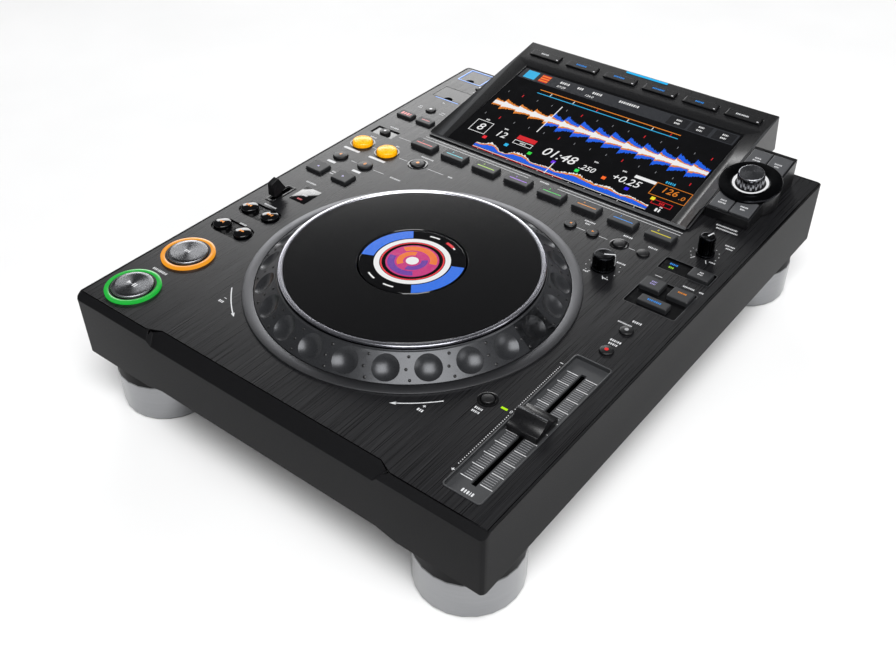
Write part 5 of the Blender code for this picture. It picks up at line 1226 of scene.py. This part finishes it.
def build_header(lights):
    """The header bar with its tiles, title rows and three soft keys, and the two lines under it."""
    looks = [lights[name] for name in ("grey", "white", "cyan", "red", "amber", "dark")]
    grey, white, cyan, red, amber, dark = range(len(looks))
    form = bmesh.new()
    low, high, key_high = SCREEN_FLOOR, SCREEN_FLOOR + 0.09, SCREEN_FLOOR + 0.12
    screen_bar(form, (0, 105.4), 196, 13.4, 0, grey)
    screen_bar(form, (-88.5, 105.6), 11, 10.4, 1, cyan, 0.6)
    screen_bar(form, (-75.0, 105.6), 8.6, 9.6, 1, red, 0.4)
    for y in (102.6, 105.6, 108.6):
        screen_bar(form, (-75.0, y), 8.6, 1.4, 2, amber)
    for start, letters in ((-64, 5), (-46, 3), (-33, 5), (-11, 10)):
        add_word(form, (start + 1.5 * letters, 107.6), letters, 2.9, low, high, white)
    for x, text in ((-57, "07:29"), (-30, "124.0")):
        add_digits(form, text, (x, 102.0), 2.6, low, high, white, lean=0.15)
    for x in (49, 68, 88):
        screen_bar(form, (x, 105.4), 17, 11.4, 1, dark, 0.6)
        for y in (107.4, 103.4):
            add_word(form, (x, y), 4, 2.0, low, key_high, white)
    screen_bar(form, (-5.5, 91.5), 129, 0.8, 0, amber)
    screen_bar(form, (-5.5, 86.8), 129, 0.8, 0, cyan)
    for x, tint in ((-58, white), (-36, white), (-14, red), (14, white), (36, white), (52, red)):
        screen_bar(form, (x, 89.0), 0.6, 3.2, 1, tint)
    put_on_screen("screen_header", form, looks)


def build_readouts(lights):
    """The figures under the waveform: time, tempo and key, with their boxes."""
    looks = [lights[name] for name in ("white", "orange", "red", "cyan")]
    white, orange, red, cyan = range(len(looks))
    form = bmesh.new()
    low, high = SCREEN_FLOOR - 0.02, SCREEN_FLOOR + 0.10
    figures = (
        # figures, place, height, colour and lean
        ("01:48", -9, 26.0, 9.6, white, 0.18), (".250", 17.5, 23.6, 5.6, white, 0.18),
        ("+0.25", 50, 25.5, 7.4, white, 0.18), ("8", -84.5, 27.5, 8.6, white, 0.12),
        ("12", -64, 27.0, 7.2, white, 0.12), ("126", 84, 29.8, 6.4, orange, 0.12),
        (".0", 95, 27.5, 4.4, orange, 0.12),
    )
    for text, x, y, height, tint, lean in figures:
        add_digits(form, text, (x, y), height, low, high, tint, lean)
    boxes = (
        # place, width, length and colour
        (-84.5, 28.0, 15.5, 15.0, white), (85.5, 28.5, 29.0, 14.0, orange), (85.5, 15.6, 16.0, 4.8, red),
        (-42.0, 25.0, 17.0, 4.6, white),
    )
    for x, y, width, length, tint in boxes:
        outer, inner = rounded(width, length, 0, (x, y)), rounded(width - 0.9, length - 0.9, 0, (x, y))
        add_frame(form, outer, inner, low, high, tint)
    screen_bar(form, (-42.0, 31.0), 17.0, 5.0, 1, red)
    screen_bar(form, (62.0, 33.6), 17.5, 3.2, 1, white)
    words = (
        # place, letters, height and colour
        (-42, 25, 5, 1.7, white), (85.5, 15.6, 3, 2.2, red), (20, 33.5, 4, 1.5, white),
        (44, 34.5, 4, 1.5, white), (-64, 34.5, 4, 1.5, white), (-84.5, 37.8, 4, 1.5, white),
        (80, 38.5, 5, 2.6, cyan), (86, 8.6, 2, 3.6, white), (87, 12.2, 3, 1.2, white),
    )
    for x, y, letters, height, tint in words:
        add_word(form, (x, y), letters, height, low, high, tint)
    put_on_screen("screen_readouts", form, looks)


# Legends
WORDS = (
    # place in millimetres, letters, and height as a share of the legend height
    (-139.6, -176.2, 10, 1.35), (-82.9, -173.8, 3, 1.35), (81.4, -174.4, 3, 1.35),
    (106.7, -153.4, 5, 1.1), (106.7, -156.4, 5, 1.1), (137.4, -55.6, 6, 1.25), (137.4, -59.0, 5, 1.25),
    (138.7, -32.2, 5, 1.3), (133.0, -37.4, 12, 0.8), (147.0, 19.4, 8, 1.0), (156.0, 19.4, 3, 1.0),
    (147.3, 78.4, 7, 1.0), (148.2, 75.2, 5, 1.0), (146.2, 53.9, 5, 0.9), (135.2, 98.4, 14, 1.15),
    (136.9, 94.6, 14, 1.15), (55.5, 47.0, 8, 1.05), (55.5, 43.9, 4, 1.05), (86.2, 46.9, 6, 1.15),
    (106.5, 45.2, 6, 1.15), (98.5, 16.6, 6, 1.1), (84.0, -4.6, 5, 0.8), (99.0, -4.4, 5, 0.8),
    (-143.5, 69.0, 8, 1.05), (-137.6, -34.0, 9, 1.1), (-135.3, -11.6, 4, 0.95), (-135.3, -14.4, 4, 0.95),
    (-91.7, 8.4, 9, 1.1), (-91.3, 46.7, 11, 1.05), (-60.2, 35.1, 4, 1.05), (-147.0, 47.2, 6, 1.0),
    (-121.7, 47.2, 3, 1.0), (-150.6, 112.4, 4, 0.8), (-150.4, 109.9, 5, 0.8), (-127.5, 112.6, 5, 0.8),
    (-127.5, 109.9, 5, 0.8), (-138.8, 127.5, 2, 1.1), (-129.3, 158.6, 4, 0.9), (-139.0, -75.0, 11, 1.05),
    (-137.0, -103.6, 6, 1.05), (0.5, 71.6, 7, 1.1),
)
LINES = (
    # ends in millimetres
    (-130.3, 59.4, -119.0, 59.8), (-109.6, 34.2, -101.1, 34.4), (-82.1, 34.7, -66.6, 34.9),
    (-113.5, 8.5, -103.2, 8.6), (-137.5, 34.7, -133.0, 34.7), (-136.0, 8.8, -131.0, 8.8),
    (51.5, 35.6, 58.5, 35.6), (69.5, 35.6, 76.5, 35.6), (93.5, 35.6, 98.0, 35.6), (122.8, 19.2, 128.0, 19.2),
)
PILLS = (
    # middle, width and length in millimetres
    (-147.6, 22.2, 16.0, 2.6), (-121.8, 22.3, 16.0, 2.6), (-147.7, -1.1, 8.0, 2.6), (-122.2, -1.0, 8.0, 2.6),
)
PRINT_LOW = -0.1


def build_legends(sizes):
    """The print on the deck: legends, link lines, pill labels, signs and the tray's two words."""
    height = sizes.legend_height / MM
    form = bmesh.new()
    for x, y, letters, share in WORDS:
        add_word(form, (x, y), letters, height * share, PRINT_LOW, PRINT_DEPTH)
    for x1, y1, x2, y2 in LINES:
        line = rounded(math.dist((x1, y1), (x2, y2)), 0.4)
        turn = math.degrees(math.atan2(y2 - y1, x2 - x1))
        add_print(form, turned(line, turn, ((x1 + x2) / 2, (y1 + y2) / 2)))
    for x, y, width, length in PILLS:
        add_print(form, rounded(width, length, 0.6, (x, y), 3))
    put("deck_legends", form, [look(legend_ink)])
    form = bmesh.new()
    add_turn_arrows(form)
    add_slider_signs(form)
    for node in ("jog_adjust_knob", "vinyl_speed_knob"):
        add_knob_scale(form, node)
    put("deck_signs", form, [look(legend_ink)])
    form = bmesh.new()
    for y, letters, tint in ((38.0, 5, 0), (34.0, 3, 1)):
        add_word(form, (126.6, y), letters, 1.9, -0.98, -0.85, tint)
    looks = [mark_light("blue"), mark_light("green")]
    put("jog_mode_legends", form, looks)


def add_print(form, outline):
    """A patch of ink on the deck."""
    add_plate(form, outline, PRINT_LOW, PRINT_DEPTH)


def add_turn_arrows(form):
    """The two arcs in front of the jog wheel, each with an arrow head at its inner end."""
    middle = (JOG.x / MM, JOG.y / MM)
    head = ((-1.2, 1.6), (0.0, -2.4), (1.2, 1.6))
    head_reach = 117.5
    for start, end, tip, half_turn in ((221.5, 235.0, 235.6, 180), (304.6, 318.0, 304.0, 0)):
        add_print(form, band(117.2, 117.9, start, end, middle))
        heading = math.radians(tip)
        nose = (middle[0] + head_reach * math.cos(heading), middle[1] + head_reach * math.sin(heading))
        add_print(form, turned(head, tip + half_turn, nose))


def add_slider_signs(form):
    """Minus and plus signs by the wheel and the slider, and the slider's nought and rows of dots."""
    for x, y, plus in ((-82.9, -170.0, False), (81.4, -170.6, True), (123.5, -198.6, True),
                       (122.6, -92.4, False)):
        add_print(form, rounded(2.0, 0.5, 0, (x, y)))
        if plus:
            lift = 0.005
            add_plate(form, rounded(0.5, 2.0, 0, (x, y)), PRINT_LOW + lift, PRINT_DEPTH + lift)
    add_digits(form, "0", (122.9, -144.7), 2.4, PRINT_LOW, PRINT_DEPTH)
    for index in range(27):
        for start, step in ((-141.4, 1.75), (-148.0, -1.75)):
            add_print(form, circle(0.36, (123.4, start + step * index), 8))


def add_knob_scale(form, node):
    """Dots round a small knob, and a short line at each of its stops."""
    place, half, _ = centre_of(node)
    for turn in range(-135, 136, 27):
        add_print(form, circle(0.38, turned([(0, half + 3.2)], turn, place)[0], 8))
    near, far = half + 1.4, half + 5.0
    for turn in (-150, 150):
        add_print(form, turned([(-0.25, near), (0.25, near), (0.25, far), (-0.25, far)], turn, place))


# Studio
def paper():
    """Matt white studio paper: even and bright, with a soft shadow."""
    return finish("matt_studio_paper", tones("#E9E9E9", "#EFEFEF"), (0.85, 0.95), (300.0, 300.0, 300.0))


SOFT_BOXES = (
    # name, place, aim and size in metres, power in watts
    ("overhead_box", (0.9, -0.9, 2.5), (0.0, 0.0, 0.0), (2.0, 2.0), 102),
    ("rear_left_box", (-1.75, 1.9, 1.15), (-0.05, 0.05, 0.08), (2.0, 0.7), 30),
    ("right_box", (2.2, 0.4, 0.9), (0.0, 0.0, 0.05), (1.2, 0.9), 10),
)
AIR_COLOUR, AIR_STRENGTH = (0.6, 0.61, 0.63, 1), 0.16
CAMERA_PLACE = (0.35516, -0.49540, 0.48787)
CAMERA_RIGHT = Vector((0.78844, 0.61507, -0.00678))
CAMERA_DOWN = Vector((0.38386, -0.50062, -0.77590))
CAMERA_AHEAD = Vector((-0.48063, 0.60915, -0.63081))
LENS_MM, FILM_MM = 41.51, 36.0


def add_light(name, place, aim, size, power):
    """A rectangular soft box that faces a point."""
    lamp = bpy.data.lights.new(name, "AREA")
    lamp.shape = "RECTANGLE"
    lamp.size, lamp.size_y = size
    lamp.energy = power
    holder = bpy.data.objects.new(name, lamp)
    bpy.context.scene.collection.objects.link(holder)
    holder.rotation_euler = (Vector(aim) - Vector(place)).to_track_quat("-Z", "Y").to_euler()
    holder.location = place


def build_studio(sizes):
    """Pale floor that curves up far away, soft boxes, dim surroundings and the camera."""
    build_floor(sizes.floor_radius)
    for box in SOFT_BOXES:
        add_light(*box)
    world = bpy.data.worlds.new("studio_air")
    world.use_nodes = True
    air = world.node_tree.nodes["Background"]
    air.inputs["Color"].default_value = AIR_COLOUR
    air.inputs["Strength"].default_value = AIR_STRENGTH
    bpy.context.scene.world = world
    bpy.context.scene.view_settings.view_transform = "Standard"
    add_camera()


def build_floor(radius):
    """The round studio floor, drawn in metres, with its rim curved upwards."""
    form = bmesh.new()
    profile = [(0.0, 0.0)]
    rim = 0.8
    for degrees in range(0, 61, 6):
        turn = math.radians(degrees)
        profile.append((radius + rim * math.sin(turn), rim - rim * math.cos(turn)))
    add_lathe(form, profile + [(radius + 0.95, 1.0)])
    bmesh.ops.remove_doubles(form, verts=form.verts, dist=1e-5)
    bmesh.ops.recalc_face_normals(form, faces=form.faces)
    form.normal_update()
    if sum(face.normal.z for face in form.faces) < 0:
        bmesh.ops.reverse_faces(form, faces=form.faces)
    mesh = bpy.data.meshes.new("studio_floor")
    form.to_mesh(mesh)
    form.free()
    mesh.materials.append(look(paper))
    mesh.shade_smooth()
    floor = bpy.data.objects.new("studio_floor", mesh)
    bpy.context.scene.collection.objects.link(floor)


def add_camera():
    """The camera at the photograph's place and angle."""
    camera = bpy.data.cameras.new("photo_camera")
    camera.lens = LENS_MM
    camera.sensor_width = FILM_MM
    camera.clip_start = 0.01
    holder = bpy.data.objects.new("photo_camera", camera)
    bpy.context.scene.collection.objects.link(holder)
    turn = Matrix((CAMERA_RIGHT, -CAMERA_DOWN, -CAMERA_AHEAD)).transposed().to_4x4()
    holder.matrix_world = Matrix.Translation(CAMERA_PLACE) @ turn
    bpy.context.scene.camera = holder


# Operators, one for each piece or group of like pieces
class PlayerOperator:
    """What all the operators share."""
    bl_options = {"REGISTER", "UNDO"}


class PLAYER_OT_studio(PlayerOperator, bpy.types.Operator):
    """Add the floor, the soft boxes and the camera"""
    bl_idname = "player.studio"
    bl_label = "Studio"

    def execute(self, context):
        build_studio(context.scene.player_sizes)
        return {"FINISHED"}


class PLAYER_OT_casing(PlayerOperator, bpy.types.Operator):
    """Finish the casing, feet, circuit board and power switch"""
    bl_idname = "player.casing"
    bl_label = "Casing and feet"

    def execute(self, context):
        build_casing(context.scene.player_sizes)
        return {"FINISHED"}


class PLAYER_OT_panel(PlayerOperator, bpy.types.Operator):
    """Finish the brushed panel with its ring and tray frames"""
    bl_idname = "player.panel"
    bl_label = "Panel"

    def execute(self, context):
        build_panel()
        return {"FINISHED"}


class PLAYER_OT_jog_wheel(PlayerOperator, bpy.types.Operator):
    """Finish the jog wheel and its round display"""
    bl_idname = "player.jog_wheel"
    bl_label = "Jog wheel"

    def execute(self, context):
        build_jog_wheel(context.scene.player_sizes)
        build_jog_display()
        return {"FINISHED"}


class PLAYER_OT_transport(PlayerOperator, bpy.types.Operator):
    """Build the play and cue buttons with their lit rings"""
    bl_idname = "player.transport"
    bl_label = "Play and cue buttons"

    def execute(self, context):
        build_transport_buttons(context.scene.player_sizes, context.scene.player_colours)
        return {"FINISHED"}


class PLAYER_OT_round_buttons(PlayerOperator, bpy.types.Operator):
    """Build the round buttons with their lamps and marks"""
    bl_idname = "player.round_buttons"
    bl_label = "Round buttons"

    def execute(self, context):
        build_small_buttons(context.scene.player_colours)
        return {"FINISHED"}


class PLAYER_OT_keys(PlayerOperator, bpy.types.Operator):
    """Finish the oblong keys with their figures and lines"""
    bl_idname = "player.keys"
    bl_label = "Keys"

    def execute(self, context):
        build_keys(context.scene.player_sizes)
        return {"FINISHED"}


class PLAYER_OT_lever(PlayerOperator, bpy.types.Operator):
    """Finish the direction lever and the two doors"""
    bl_idname = "player.lever"
    bl_label = "Lever and doors"

    def execute(self, context):
        build_lever_and_doors()
        return {"FINISHED"}


class PLAYER_OT_slider(PlayerOperator, bpy.types.Operator):
    """Build the tempo slider with its scale"""
    bl_idname = "player.slider"
    bl_label = "Tempo slider"

    def execute(self, context):
        build_slider(context.scene.player_colours)
        return {"FINISHED"}


class PLAYER_OT_knobs(PlayerOperator, bpy.types.Operator):
    """Build the two small knobs and the rotary selector"""
    bl_idname = "player.knobs"
    bl_label = "Knobs and selector"

    def execute(self, context):
        build_knobs(context.scene.player_sizes)
        build_selector()
        return {"FINISHED"}


class PLAYER_OT_display(PlayerOperator, bpy.types.Operator):
    """Finish the display housing and draw the screen's picture"""
    bl_idname = "player.display"
    bl_label = "Display"

    def execute(self, context):
        build_display()
        build_screen_picture(context.scene.player_colours)
        return {"FINISHED"}


class PLAYER_OT_legends(PlayerOperator, bpy.types.Operator):
    """Print the legends, lines and scales on the deck"""
    bl_idname = "player.legends"
    bl_label = "Legends"

    def execute(self, context):
        build_legends(context.scene.player_sizes)
        return {"FINISHED"}


STEPS = (
    PLAYER_OT_studio, PLAYER_OT_casing, PLAYER_OT_panel, PLAYER_OT_jog_wheel, PLAYER_OT_transport,
    PLAYER_OT_round_buttons, PLAYER_OT_keys, PLAYER_OT_lever, PLAYER_OT_slider, PLAYER_OT_knobs,
    PLAYER_OT_display, PLAYER_OT_legends,
)


class PLAYER_PT_panel(bpy.types.Panel):
    """Lists the pieces and the values behind them"""
    bl_idname = "PLAYER_PT_panel"
    bl_label = "Player"
    bl_space_type = "VIEW_3D"
    bl_region_type = "UI"
    bl_category = "Player"

    def draw(self, context):
        for group in (context.scene.player_sizes, context.scene.player_colours):
            box = self.layout.box()
            for name in group.__annotations__:
                box.prop(group, name)
        for step in STEPS:
            self.layout.operator(step.bl_idname)


CLASSES = (PlayerSizes, PlayerColours, *STEPS, PLAYER_PT_panel)


def register():
    """Adds the classes and the values to the scene."""
    for item in CLASSES:
        bpy.utils.register_class(item)
    bpy.types.Scene.player_sizes = PointerProperty(type=PlayerSizes)
    bpy.types.Scene.player_colours = PointerProperty(type=PlayerColours)


def unregister():
    """Takes the values and the classes away again."""
    del bpy.types.Scene.player_colours
    del bpy.types.Scene.player_sizes
    for item in reversed(CLASSES):
        bpy.utils.unregister_class(item)


def main():
    """Builds everything in order."""
    register()
    for step in STEPS:
        group, name = step.bl_idname.split(".")
        getattr(getattr(bpy.ops, group), name)()


if __name__ == "__main__":
    main()
